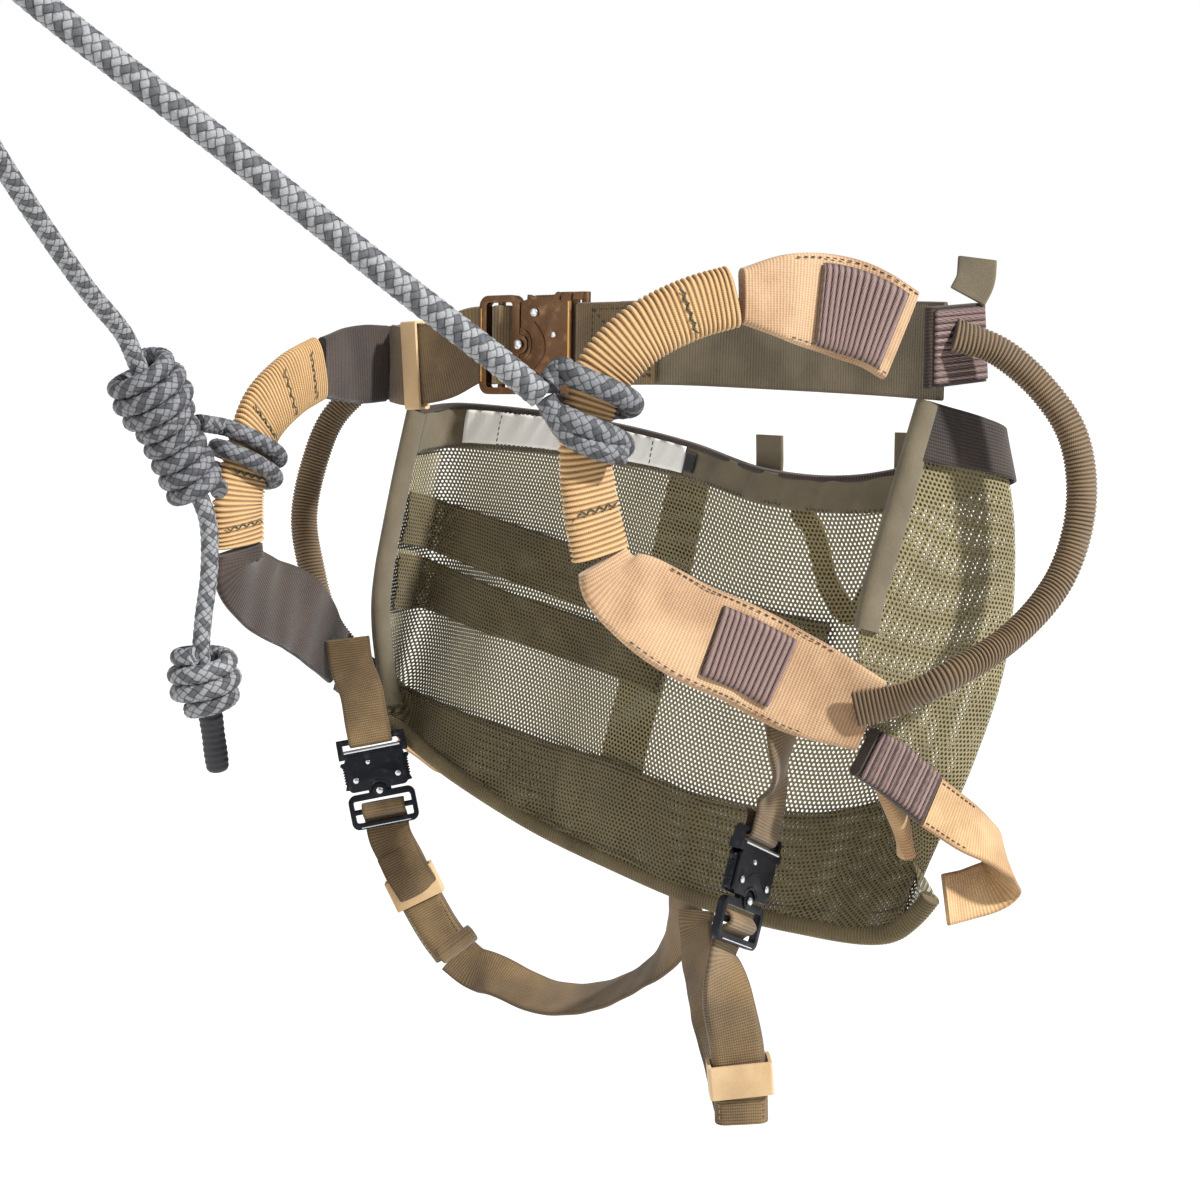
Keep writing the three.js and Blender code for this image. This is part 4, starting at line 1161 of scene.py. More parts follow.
    @staticmethod
    def billow(along: Array, fall: Array) -> Array:
        """Returns the slow waves of the stretched mesh."""
        slow = np.sin(along * 21 + fall * 3) * np.sin(fall * pi)
        return 0.9 * slow + 0.5 * np.sin(along * 47 - fall * 8) * np.sin(fall * pi)

    @staticmethod
    def pleats(along: Array, fall: Array) -> Array:
        """Returns the top band's pleats, deepest on the near side of its middle."""
        near = np.exp(-(((along - 0.66) / 0.13) ** 2))
        folds = np.abs(np.sin(along * 62 + fall * 0.9)) ** 0.6
        return 2.0 * near * (folds - 0.35) + 0.5 * np.sin(along * 90 + fall * 4) - 0.3

    @staticmethod
    def hem_folds(along: Array, fall: Array) -> Array:
        """Returns the doubled hem's puckers between its seams."""
        return 0.9 * np.sin(along * 70 + fall * 2) * np.sin(fall * pi) + 0.5 * np.sin(along * 23)

    def trim(
        self, name: str, places: list[tuple], width: float, thick: float, finish: Finish,
        rib: float = 0.0, node: str = ""
    ) -> None:
        """Makes a rolled or ribbed trim along points of the seat."""
        route = Route([Station(tuple(at), tuple(out), width, thick) for at, out in places], 12)
        piece = sweep(name, route, rib / 4 if rib else 2.0, True, rib_warp(rib, 0.55) if rib else None, 2.4)
        dress(piece, finish, "olive", node=node)

    def build(self) -> None:
        """Makes the seat."""
        inside = self.panel + self.gap + self.band / 2
        behind = -self.gap - self.band / 2
        size = (self.mesh_lift, self.mesh_thick, (224, 84))
        panel = self.sheet("seat_mesh", 0, self.columns, level(0.0), level(1.0), *size, self.billow)
        dress(panel, SEAT_MESH, "mesh", node="seat_panel")
        label, olive, doubled = BlankLabel("sewn", 132, 24), OLIVE_CANVAS, DOUBLE_MESH
        upper = ((0.23, 0.35, 0.39), (0.36, 0.46, 0.5), inside + 0.4, 0.9, (150, 16), self.billow)
        lower = ((0.38, 0.46, 0.5), (0.52, 0.56, 0.6), inside + 0.4, 0.9, (120, 16), self.billow)
        hem = (level(0.75), level(1.0), inside, 0.9, (220, 26), self.hem_folds)
        top = (level(0.0), level(0.125), inside, 1.0, (260, 14), self.pleats)
        spine = (level(0.0), level(1.0), behind, 0.9, (16, 90))
        sewn = (level(0.014), level(0.11), inside + 1.6, 0.5, (70, 8), self.pleats, True)
        tag = (level(0.03), level(0.1), inside + 1.6, 0.6, (6, 8))
        # painted shade: a dark sheet laid in the near top corner stands for the shaded gap between the
        # strap and the side loop
        corner = (level(0.0), level(0.13), behind, 1.3, (44, 12))
        for name, node, first, last, shape, finish, slot in (
            ("top_band_cloth", "top_band", 1, 31, top, olive, "olive"),
            ("hem_double_mesh", "hem_band", 1, 29, hem, doubled, "mesh"),
            ("cross_band_upper_cloth", "cross_band_upper", 1, 23, upper, doubled, "mesh"),
            ("cross_band_lower_cloth", "cross_band_lower", 1, 17, lower, doubled, "mesh"),
            ("spine_band_cloth", "spine_band", 15, 17, spine, doubled, "mesh"),
            ("blank_label", "sewn_label", 5, 16, sewn, label, "label"),
            ("side_tag", "", 16.05, 16.55, tag, BLACK_TAG, "dark_webbing"),
            # painted shade: the dark corner patch
            ("corner_patch_near", "", 26.6, 31.7, corner, SHADE_WEBBING, "dark_webbing"),
        ):
            dress(self.sheet(name, first, last, *shape), finish, slot, node=node)
        for name, node, edge, width, thick, finish in (
            ("edge_roll_near", "edge_binding_near", (1.0, 0.0, 0.47, 8), 13, 8.4, OLIVE_CANVAS),
            ("edge_roll_far", "edge_binding_far", (0.0, 0.0, 0.9, 12), 13, 8.4, OLIVE_CANVAS),
            ("hem_edge_tan", "hem_edge_strap_near", (1.0, 0.74, 0.92, 6), 10, 8, TAN_NARROW),
        ):
            self.trim(name, self.edge(*edge), width, thick, finish, node=node)
        self.borders()
        self.gear_loop()

    def borders(self) -> None:
        """Makes the piping on the top edge, the ribbed hem binding and the seams of the bands."""
        across = np.linspace(0.01, 0.99, 40)
        for name, down, lift, width, thick, rib in (
            ("top_piping", 0.004, 2.8, 4.2, 6.4, 0.0),
            ("hem_binding", 0.988, 2.6, 9.0, 7.6, 1.7),
        ):
            fall = np.full(len(across), down)
            out = self.out(across, fall)
            places = list(zip(self.point(across, fall) + out * lift, out))
            finish = SHADE_WEBBING if name == "top_piping" else BINDING
            self.trim(name, places, width, thick, finish, rib)
        seams = Threads("seat_seams", THREAD_DARK, (2.4, 0.6, 0.5))
        inside = self.panel + self.gap + self.band + 0.1
        self.seam(seams, np.linspace(0.04, 0.96, 190), 0.118, inside, zigzag=True)
        self.seam(seams, np.linspace(0.04, 0.9, 170), 0.765, inside)
        self.seam(seams, np.linspace(0.04, 0.9, 170), 0.955, inside)
        for across_at in (0.33, 0.37, 0.41, 0.52, 0.64, 0.76, 0.86):
            for down in np.linspace(0.79, 0.94, 9):
                self.stitch(seams, across_at, down, inside, True)
        seams.build()

    def gear_loop(self) -> None:
        """Makes the V of narrow webbing that hangs behind the mesh."""
        spots = (
            (0.655, 0.12), (0.675, 0.2), (0.70, 0.33), (0.725, 0.37), (0.75, 0.31), (0.765, 0.2),
            (0.77, 0.13)
        )
        across, down = (np.array(column) for column in zip(*spots))
        out = self.out(across, down)
        drop = -np.array([2.4, 5, 8, 9, 8, 5, 2.4])[:, None]
        stations = [
            Station(tuple(at), tuple(way), 12.0, 1.8)
            for at, way in zip(self.point(across, down) + out * drop, -out)
        ]
        dress(sweep("gear_loop_webbing", Route(stations), 1.2), COYOTE, "coyote")

    def stitch(
        self, seams: Threads, across: float, down: float, lift: float, fall: bool, lean: float = 0.0
    ) -> None:
        """Adds one stitch on the seat's bands, along them or down them."""
        a, d = np.array([across]), np.array([down])
        out = self.out(a, d)[0]
        ahead = self.point(a + 0.002, d + lean) - self.point(a - 0.002, d - lean)
        drop = self.point(a, np.minimum(d + 0.01, 1)) - self.point(a, d - 0.01)
        at = self.point(a, d)[0] + out * lift
        seams.add(at, drop[0] if fall else ahead[0], out)

    def seam(
        self, seams: Threads, across: Array, down: float, lift: float, zigzag: bool = False
    ) -> None:
        """Adds a row of stitches along the seat."""
        for i, share in enumerate(across):
            lean = (0.012 if i % 2 else -0.012) if zigzag else 0.0
            self.stitch(seams, share, down, lift, False, lean)


FACE_NEAR: Point = (0.98, -0.2, 0.05)
FACE_FAR: Point = (-0.98, -0.2, 0.05)
OUT_NEAR: Point = (1.0, 0.0, 0.0)
OUT_FAR: Point = (-1.0, 0.0, 0.0)
DOUBLE = 4.4  # two layers of webbing
SLEEVE_THICK = 9.0
TACK_THICK = 1.0
TAB_BACK = 2.4  # how far a rear tab's middle lies outside the seat's outer face


def patch(
    name: str, route: Route, start: float, end: float, reach: tuple[float, float], lift: float,
    rib: float, depth: float
) -> Piece:
    """Lays a ribbed patch of bar-tacking on a strap.

    Args:
        name: The piece's name.
        route: The strap's route.
        start: Where it starts along the strap, in millimetres.
        end: Where it ends.
        reach: Its two edges across the strap, as shares from -1 to 1.
        lift: Its distance from the strap's middle surface.
        rib: The distance between its ridges.
        depth: The ridges' height.

    Returns:
        The piece.
    """
    rings = max(6, int((end - start) / rib * 7))
    run = np.linspace(start, end, rings)
    share = np.linspace(*reach, 22)
    line = route.even(400)
    middle, side, out = (
        np.stack([np.interp(run, line["run"], c) for c in line[key].T], 1)
        for key in ("middle", "side", "out")
    )
    half = np.interp(run, line["run"], line["width"]) / 2
    ridge = depth * np.abs(np.sin(np.pi * (run - start) / rib)) ** 0.6
    rim = np.clip((1 - np.abs(np.linspace(-1, 1, 22))) * 6, 0, 1) ** 0.5
    rise = lift + np.outer(ridge, rim)
    across = (half[:, None] * share)[..., None] * side[:, None]
    places = middle[:, None] + across + rise[..., None] * out[:, None]
    flat = np.stack(np.meshgrid(share * half.mean(), run - start), axis=2)
    piece = lay_grid(name, metres(places), flat * MM, False)
    return thicken(piece, TACK_THICK)


def stations(face: Point, thick: float, *rows: tuple[float, float, float, float]) -> tuple[Station, ...]:
    """Returns stations that face one way at one thickness, from rows of x, y, z and width."""
    return tuple(Station(row[:3], face, row[3], thick) for row in rows)


@dataclass
class BridgeLoops:
    """The two front loops: a folded strap, a ribbed sleeve round it, the lower strap and the bar-tacks."""

    near_upper: tuple[Station, ...] = (
        *stations(
            FACE_NEAR, DOUBLE, (184.5, 12, 137.5, 44), (180, -1, 144.5, 45), (173, -16, 150, 45),
            (166, -42, 154, 38),
        ),
        Station((159, -65, 154.5), FACE_NEAR, 24, 6),
    )
    near_sleeve: tuple[Station, ...] = stations(
        FACE_NEAR, SLEEVE_THICK, (157.8, -69, 154.3, 25), (151, -88, 149, 25), (142, -109, 138, 25),
        (134, -122, 123, 25), (131, -128, 108, 23), (130, -130, 92, 23), (130, -127, 68, 25),
        (131, -122, 45, 26),
    )
    near_lower: tuple[Station, ...] = (
        Station((131.3, -120.8, 42), FACE_NEAR, 26, 6),
        *stations(
            FACE_NEAR, DOUBLE, (133, -117, 34, 32), (140, -107, 25, 40), (150, -86, 10, 44),
            (159, -62, -2, 45), (172, -38, -17, 45),
        ),
        Station((193.5, -15, -31), (0.9, -0.42, 0), 34, DOUBLE),
    )
    far_upper: tuple[Station, ...] = (
        *stations(
            FACE_FAR, DOUBLE, (-187, 4, 119, 44), (-183, -14, 119, 45), (-177, -32, 119, 42),
        ),
        Station((-168, -54, 118), FACE_FAR, 34, 6),
    )
    far_sleeve: tuple[Station, ...] = stations(
        FACE_FAR, SLEEVE_THICK, (-166.5, -57.2, 117.7, 33), (-150, -88, 109, 33),
        (-138, -114, 94, 32), (-131, -127, 77, 29), (-131, -134, 52, 32), (-134, -133, 28, 33),
    )
    far_lower: tuple[Station, ...] = (
        Station((-134.5, -132.7, 25.6), FACE_FAR, 33, 6),
        *stations(
            FACE_FAR, DOUBLE, (-136.5, -131, 14, 36), (-151, -108, -2, 42), (-168, -72, -18, 45),
        ),
        Station((-191, -31, -50), (-0.92, -0.38, 0), 34, DOUBLE),
    )

    def build(self) -> None:
        """Makes both loops."""
        # the near straps are tan; the far straps get the painted-shade copy, because their inner faces lie
        # in shadow
        tan, dark = (TAN, "tan"), (SHADE_WEBBING, "dark_webbing")
        for name, places, node, look in (
            ("loop_strap_near_upper", self.near_upper, "bridge_strap_near_upper", tan),
            ("loop_strap_near_lower", self.near_lower, "bridge_strap_near_lower", tan),
            ("loop_strap_far_upper", self.far_upper, "bridge_strap_far_upper", dark),
            ("loop_strap_far_lower", self.far_lower, "bridge_strap_far_lower", dark),
        ):
            piece = sweep(name, Route(places), 1.2, warp=ripple_warp(60, 0.45))
            dress(piece, *look, node=node)
        for name, places, node in (
            ("sleeve_near", self.near_sleeve, "bridge_sleeve_near"),
            ("sleeve_far", self.far_sleeve, "bridge_sleeve_far"),
        ):
            sleeve = sweep(name, Route(places), 0.34, True, rib_warp(2.4, 0.75), 2.7)
            dress(sleeve, SLEEVE, "ribbed_tan", node=node)
        self.tacks()
        self.stitches()

    def tacks(self) -> None:
        """Makes the bar-tacked patches on the near straps."""
        upper, lower = Route(self.near_upper), Route(self.near_lower)
        for name, route, start, end, reach in (
            ("tack_near_upper", upper, 6.0, 46.0, (-0.92, 0.78)),
            ("tack_near_lower", lower, 62.0, 100.0, (-0.72, 0.72)),
        ):
            piece = patch(name, route, start, end, reach, DOUBLE / 2 + 0.7, 3.0, 1.5)
            dress(piece, PURPLE_TACK, "dark_webbing")

    def stitches(self) -> None:
        """Makes the seams on the sleeves and straps."""
        dark = Threads("loop_seams", THREAD_DARK)
        green = Threads("sleeve_seams", THREAD_GREEN, (4.6, 0.9, 0.6))
        near, far = Route(self.near_sleeve).even(300), Route(self.far_sleeve).even(300)
        for run in (24.0, 128.0):
            green.zigzag(near, run, SLEEVE_THICK / 2 + 0.7, 0.8)
        for run in (16.0, 44.0, 74.0, 104.0, 130.0):
            green.zigzag(far, run, -SLEEVE_THICK / 2 - 0.7, 0.8)
        upper, lower = Route(self.near_upper).even(300), Route(self.near_lower).even(300)
        for line, start, end in ((upper, 2.0, 60.0), (lower, 30.0, 120.0)):
            for share in (-0.9, 0.9):
                dark.row(line, share, start, end, DOUBLE / 2 + 0.25)
        dark.build()
        green.build("olive")


@dataclass
class SideLoops:
    """The linesman loops, the rear loops, the corner stacks and the tabs."""

    loop: float = 16.0
    thick: float = 11.0
    narrow: float = 25.0
    tab: float = 18.0

    def ring(self, at: Point, face: Point, thick: float | None = None) -> Station:
        """Returns a station of a side loop."""
        return Station(at, face, self.loop, thick or self.thick)

    def near(self) -> Route:
        """Returns the near side loop's route."""
        ring = self.ring
        return Route((
            ring((197.6, 34, 138), (0.9, 0, 0.3), 5), ring((211, 50, 130), (0.8, 0, 0.6)),
            ring((226, 63, 113), (0.8, 0, 0.6)), ring((238, 70, 92), (1, 0, 0.3)),
            ring((242, 72, 62), OUT_NEAR), ring((239, 63, 30), (1, 0, -0.3)),
            ring((232, 38, 5), (0.8, 0, -0.6)), ring((222, 2, -12), (0.8, 0, -0.6)),
            ring((207, -12, -22), (0.9, -0.2, -0.3), 8), ring((192.5, -25, -27), (0.9, -0.42, 0), 5),
        ))

    def far(self) -> Route:
        """Returns the far side loop's route."""
        ring = self.ring
        return Route((
            ring((-197, 26, 122), (-0.9, 0, 0.3), 5), ring((-212, 8, 106), (-0.8, 0, 0.6)),
            ring((-224, -8, 86), (-0.9, 0, 0.3)), ring((-230, -18, 58), OUT_FAR),
            ring((-229, -26, 28), OUT_FAR), ring((-220, -28, 0), (-1, 0, -0.3)),
            ring((-212, -24, -30), (-0.9, 0, -0.4)), ring((-201.2, -10, -56), (-0.98, 0, -0.2), 5),
        ))

    def rear(self, places: Sequence[tuple[Point, Point]]) -> Route:
        """Returns a rear loop's route."""
        return Route([Station(at, face, self.narrow) for at, face in places])

    def build(self) -> None:
        """Makes the loops, the stacks and the tabs."""
        for name, route, node in (
            ("side_loop_near", self.near(), "linesman_loop_near"),
            ("side_loop_far", self.far(), "linesman_loop_far"),
        ):
            piece = sweep(name, route, 0.32, True, rib_warp(1.9, 0.8), 2.2)
            dress(piece, LOOP_COYOTE, "coyote", node=node)
        near = self.rear((
            ((196, 27.2, -77), (1, 0, 0)), ((200, 46, -90), (1, 0.2, 0)),
            ((201.5, 66, -102), (1, 0.6, 0.2)), ((201, 80, -114), (0.3, 0.9, -0.4)),
            ((195, 83, -126), (-0.5, 0.5, -0.5)), ((190, 66, -130), (-1, 0.1, -0.2)),
            ((188.5, 50, -130), (-1, 0, -0.2)),
        ))
        far = self.rear((
            ((-194.8, 13.4, -86.2), (-1, 0, 0)), ((-200, 34, -100), (-1, 0.2, 0)),
            ((-200, 50, -112), (-0.8, 0.6, 0.2)), ((-194, 57, -121), (-0.1, 0.9, -0.4)),
            ((-185, 44, -118), (0.9, 0.4, -0.4)), ((-180, 26, -106), (1, 0.1, -0.2)),
            ((-178, 10, -95), (1, 0, -0.2)),
        ))
        for name, route, node in (
            ("rear_strap_near", near, "rear_loop_near"), ("rear_strap_far", far, "rear_loop_far")
        ):
            piece = sweep(name, route, 1.2)
            dress(piece, TAN_NARROW, "ribbed_tan", node=node)
        seams = Threads("rear_loop_seams", THREAD_DARK)
        for share in (-0.82, 0.82):
            seams.row(near.even(200), share, 2.0, 30.0, 1.5)
        seams.build()
        self.stacks()
        self.tabs()

    def stacks(self) -> None:
        """Makes the sewn corner stacks, the low ones ridged with bar-tacks."""
        for name, node, places in (
            (
                "stack_near_top", "corner_stack_near_top",
                stations(OUT_NEAR, 6, (191, 42, 151, 40), (191, 44, 115, 44))
            ),
            (
                "stack_far_top", "corner_stack_far_top",
                stations(OUT_FAR, 6, (-191, 26, 142, 44), (-191, 30, 100, 44))
            ),
            ("stack_near_low", "corner_stack_near_low", (
                Station((189.3, -14, -48), (0.96, -0.28, 0), 24, 6),
                Station((191.5, 4, -59), (0.98, -0.1, 0), 25, 6),
                Station((195, 26, -76), (1, 0.05, 0), 25, 6),
            )),
            ("stack_far_low", "corner_stack_far_low", (
                Station((-193.4, -24, -57), (-0.96, -0.28, 0), 30, 6),
                Station((-194.6, -6, -70), (-0.98, -0.1, 0), 30, 6),
                Station((-194, 12, -85), (-1, 0.05, 0), 28, 6),
            )),
        ):
            route = Route(places)
            dress(sweep(name, route, 1.2), SHADE_WEBBING, "dark_webbing", node=node)
            rib, reach = (2.2, (-0.95, 0.95)) if "low" in name else (1.6, (-0.9, 0.9))
            tack = patch(f"{name}_tack", route, 1.5, route.length - 1.5, reach, 3.4, rib, 0.9)
            dress(tack, PURPLE_TACK, "dark_webbing")

    def tabs(self) -> None:
        """Makes the webbing tabs on the top edge."""
        lean = (0.7, -0.7, 0.0)
        gear = Route(
            [Station(at, lean, self.tab) for at in ((191, 52, 155), (192, 56, 162), (190, 60, 172))]
        )
        dress(sweep("gear_tab_cloth", gear, 1.2), OLIVE_CANVAS, "olive", node="gear_tab")
        seat = Seat()
        for name, node, across, rise in (
            ("rear_tab_centre_cloth", "rear_tab_centre", 0.61, 19),
            ("rear_tab_side_cloth", "rear_tab_side", 0.78, 17),
        ):
            spot, low, high = np.array([across]), np.array([0.06]), np.array([0.0])
            face = seat.out(spot, np.array([0.03]))[0]
            foot = seat.point(spot, low)[0] - seat.out(spot, low)[0] * TAB_BACK
            edge = seat.point(spot, high)[0] - seat.out(spot, high)[0] * (TAB_BACK + 1)
            tip = edge + np.array([0, 0, rise])
            route = Route([Station(tuple(p), tuple(face), self.tab) for p in (foot, edge, tip)])
            dress(sweep(name, route, 1.2), OLIVE_CANVAS, "olive", node=node)


# ---------- rope and hook ----------
PULL = unit((0.0, -0.75, 0.66))
HOOK_BAR = 12.0
HOOK_LENGTH = 104.0
HOOK_HALF_WIDE = 28.0
BIGHT = 20.0
BRAID_DEPTH = 0.16  # the strands' height as a share of the rope's radius
GAP = 0.4


def even_line(points: Sequence[Sequence[float]], step: float) -> tuple[Array, Array]:
    """Returns a smooth line through points at even steps, with the distance along it.

    Args:
        points: The points, in millimetres.
        step: The distance between two places.

    Returns:
        The places and their runs.
    """
    knots = np.array(points, float)[:, None]
    share = np.linspace(0, 1, len(points) * 30)
    fine = spline(knots, share)
    run = measure(fine)
    even = np.linspace(0, run[-1], max(8, int(run[-1] / step) + 1))
    return np.stack([np.interp(even, run, c) for c in fine.T], axis=1), even


def braid_lift(turn: Array, run: Array, strands: int, lay: float) -> Array:
    """Returns a braid's relief, 0 to 1: each strand is rounded where it lies on top.

    Args:
        turn: The way round the rope, 0 to 1.
        run: The distance along it, in millimetres.
        strands: Strands that wind each way.
        lay: The distance in which one strand goes once round.

    Returns:
        The relief.
    """
    right = turn * strands + run * strands / lay
    left = turn * strands - run * strands / lay
    top = ((np.floor(right) + np.floor(left)) * 0.5) % 1.0 > 0.25
    cross = np.where(top, right % 1.0, left % 1.0)
    return np.sin(np.pi * cross) ** 0.6


def rope_tube(
    name: str,
    points: Sequence[Sequence[float]],
    radius: float | Callable[[Array], Array],
    braid: Braid | None,
    step: float = 1.0,
    sides: int = 36,
) -> Piece:
    """Lays a round tube along points, with a braid's relief where it is given.

    Args:
        name: The piece's name.
        points: The points, in the saddle's frame.
        radius: The tube's radius, or a function that gives it from the share along the tube.
        braid: The braid, or None for a smooth bar.
        step: The distance between rings.
        sides: Its sides.

    Returns:
        The piece.
    """
    places, run = even_line(points, step)
    along = np.gradient(places, axis=0)
    along /= np.linalg.norm(along, axis=1)[:, None]
    side = unit(np.cross(along[0], (0.3, 0.5, 0.81)))
    sides_out = []
    for ahead in along:
        side = unit(side - ahead * side.dot(ahead))
        sides_out.append(side)
    u = np.array(sides_out)
    v = np.cross(along, u)
    turn = np.linspace(0, 1, sides + 1)
    share = run / run[-1]
    even = radius(share) if callable(radius) else np.full(share.shape, radius)
    size = even[:, None] * np.ones(len(turn))
    if braid:
        relief = braid_lift(turn[None] % 1.0, run[:, None], braid.strands, braid.lay) - 0.6
        size = size + relief * size * BRAID_DEPTH
    angle = turn * TURN
    ring = np.cos(angle)[None, :, None] * u[:, None] + np.sin(angle)[None, :, None] * v[:, None]
    tube = places[:, None] + ring * size[..., None]
    flat = np.stack(np.broadcast_arrays(turn[None], run[:, None] * MM), axis=2)
    return lay_grid(name, metres(tube), flat, True, 60.0)


def helix(start: Array, end: Array, radii: Sequence[float], turns: float, begin: float = 0.0) -> list:
    """Returns the points of a cord wound round a line.

    Args:
        start: The line's start.
        end: Its end.
        radii: The winding's radius at even shares of the line.
        turns: How many turns.
        begin: The angle where it starts, in degrees.

    Returns:
        The points.
    """
    axis = unit(end - start)
    u = unit(np.cross(axis, (0.2, 0.9, 0.1)))
    v = np.cross(axis, u)
    points = []
    for share in np.linspace(0, 1, int(turns * 14)):
        angle = share * turns * TURN + radians(begin)
        radius = float(np.interp(share, np.linspace(0, 1, len(radii)), radii))
        points.append(start + (end - start) * share + radius * (u * cos(angle) + v * sin(angle)))
    return points


def wraps(
    centre: Point, down: Point, face: Point, half: tuple[float, float], turns: float, pitch: float,
    begin: float
) -> list[Array]:
    """Returns the points of turns of cord round a flat sleeve.

    Args:
        centre: The middle of the turns.
        down: The way that the sleeve runs.
        face: The way that it faces.
        half: The turns' half-widths across and through the sleeve.
        turns: How many turns.
        pitch: The distance between turns.
        begin: The angle of the first point, in radians.

    Returns:
        The points.
    """
    axis = unit(down)
    out = unit(np.array(face) - np.dot(face, axis) * axis)
    across = np.cross(axis, out)
    count = round(turns * 16)
    points = []
    for i in range(count + 1):
        turn = begin + i / 16 * TURN
        middle = np.array(centre, float) + axis * (i / 16 - turns / 2) * pitch
        points.append(middle + across * cos(turn) * half[0] + out * sin(turn) * half[1])
    return points


@dataclass
class RopeBridge:
    """The rope from the near sleeve's eye over the hook, through the friction hitch to the stopper knot."""

    hitch_top: Point = (-121, -196, 122)
    hitch_low: Point = (-122, -163, 56)
    knot_top: Point = (-126, -162, -24)
    knot_low: Point = (-126, -159, -52)
    diameter: float = 10.0

    def route(self) -> list[Array]:
        """Returns the rope's own points."""
        bow_middle = PULL * (HOOK_BAR / 2 - HOOK_LENGTH) - SADDLE
        top = HOOK_BAR / 2 + 2 * GAP + self.diameter / 2
        centre = bow_middle + PULL * (top - BIGHT)
        turn = np.radians(np.linspace(70, -70, 9))
        bight = [centre + np.array([BIGHT * sin(a), 0, 0]) + PULL * BIGHT * cos(a) for a in turn]
        high, low = np.array(self.hitch_top, float), np.array(self.hitch_low, float)
        knot, tail = np.array(self.knot_top, float), np.array(self.knot_low, float)
        return [
            np.array(p, float)
            for p in (
                (128.4, -153.6, 113.6), (122, -171, 128), (107, -202, 154), (74, -268, 211),
                (42, -333, 266),
                *bight, (-41, -335, 258), (-72, -285, 207), (-102, -234, 160), (-119, -203.6, 136),
                high, (high + low) / 2, low, (-122.5, -158, 42), (-124.5, -157, 16), (-126, -160, -6),
                knot, (knot + tail) / 2, (-126, -158.6, -54.8),
            )
        ]

    @staticmethod
    def radius(share: Array) -> Array:
        """Returns the rope's drawn radius, fuller on the loaded leg than at the knotted end."""
        return np.interp(share, [0, 0.36, 0.5, 0.62, 1], [5.7, 5.5, 5.2, 4.5, 4.3])

    def build(self) -> None:
        points = self.route()
        line, run = even_line(points, 4.0)
        rope = rope_tube("rope", points, self.radius, ROPE, 0.9)
        dress(rope, ROPE, "rope", node="bridge_rope")
        eye = wraps((131, -127.8, 105), (-0.1, -0.2, -1), FACE_NEAR, (18.05, 11.35), 1.75, 18, 0.0)
        exit_at = points[0]
        eye = [exit_at + (eye[0] - exit_at) * 0.35, *eye]
        hitch = rope_tube("eye_hitch_cord", eye, 4.9, HITCH_ROPE)
        dress(hitch, HITCH_ROPE, "rope", node="eye_hitch")
        band = [(128.5, -151, 112), (134, -143, 97), (142, -131, 90), (144, -121, 88)]
        over = rope_tube("eye_hitch_bight", band, 4.4, HITCH_ROPE)
        dress(over, HITCH_ROPE, "rope")
        exit_low = np.array((-123.5, -161.6, 93.0))
        loop = [
            exit_low,
            *wraps((-131.3, -128.2, 73), (0.1, -0.36, -1), FACE_FAR, (20.4, 10.6), 1.9, 11, pi)
        ]
        loop_cord = rope_tube("hitch_loop_cord", loop, 4.3, HITCH_ROPE)
        dress(loop_cord, HITCH_ROPE, "rope", node="hitch_loop")
        high, low = np.array(self.hitch_top, float), np.array(self.hitch_low, float)
        wound = helix(high, low, (12.5, 15.6, 15.6, 11.6, 11.2, 11.2, 11.2, 10.8), 8.3, 200)
        turns = rope_tube("friction_hitch_cord", wound, 4.3, HITCH_ROPE, 1.1, 28)
        dress(turns, HITCH_ROPE, "rope", node="friction_hitch")
        knot, tail = np.array(self.knot_top, float), np.array(self.knot_low, float)
        tied = helix(knot, tail, (10.5, 13.6, 14.2, 13.6, 10.5), 3.1, 40)
        knot_cord = rope_tube("stopper_knot_cord", tied, 4.6, ROPE)
        dress(knot_cord, ROPE, "rope", node="stopper_knot")
        cap = self.end_cap()

    def end_cap(self) -> Piece:
        """Models the shrunk tube on the rope's end and returns it."""
        middle = np.array((-126, -155.8, -71.6))
        axis = unit((0, 0.12, -1))
        shares = (-16.5, -15.6, -12, -4, 6, 13, 15.8, 16.5)
        radii = (4.9, 6.1, 6.2, 5.9, 6.1, 5.9, 5.2, 3.6)
        fine = np.linspace(-16.5, 16.5, 60)
        wide = np.interp(fine, shares, radii) + 0.18 * np.sin(fine * 1.9)
        u = unit(np.cross(axis, (1, 0, 0)))
        v = np.cross(axis, u)
        angle = np.linspace(0, TURN, 33)
        ring = np.cos(angle)[None, :, None] * u + np.sin(angle)[None, :, None] * v
        tube = middle + fine[:, None, None] * axis + ring * wide[:, None, None]
        flat = np.stack(np.broadcast_arrays(angle[None] * 6, fine[:, None]), axis=2)
        cap = lay_grid("rope_end_tube", metres(tube), flat * MM, True)
        dress(cap, RUBBER, "rubber", node="rope_end_cap")
        return cap


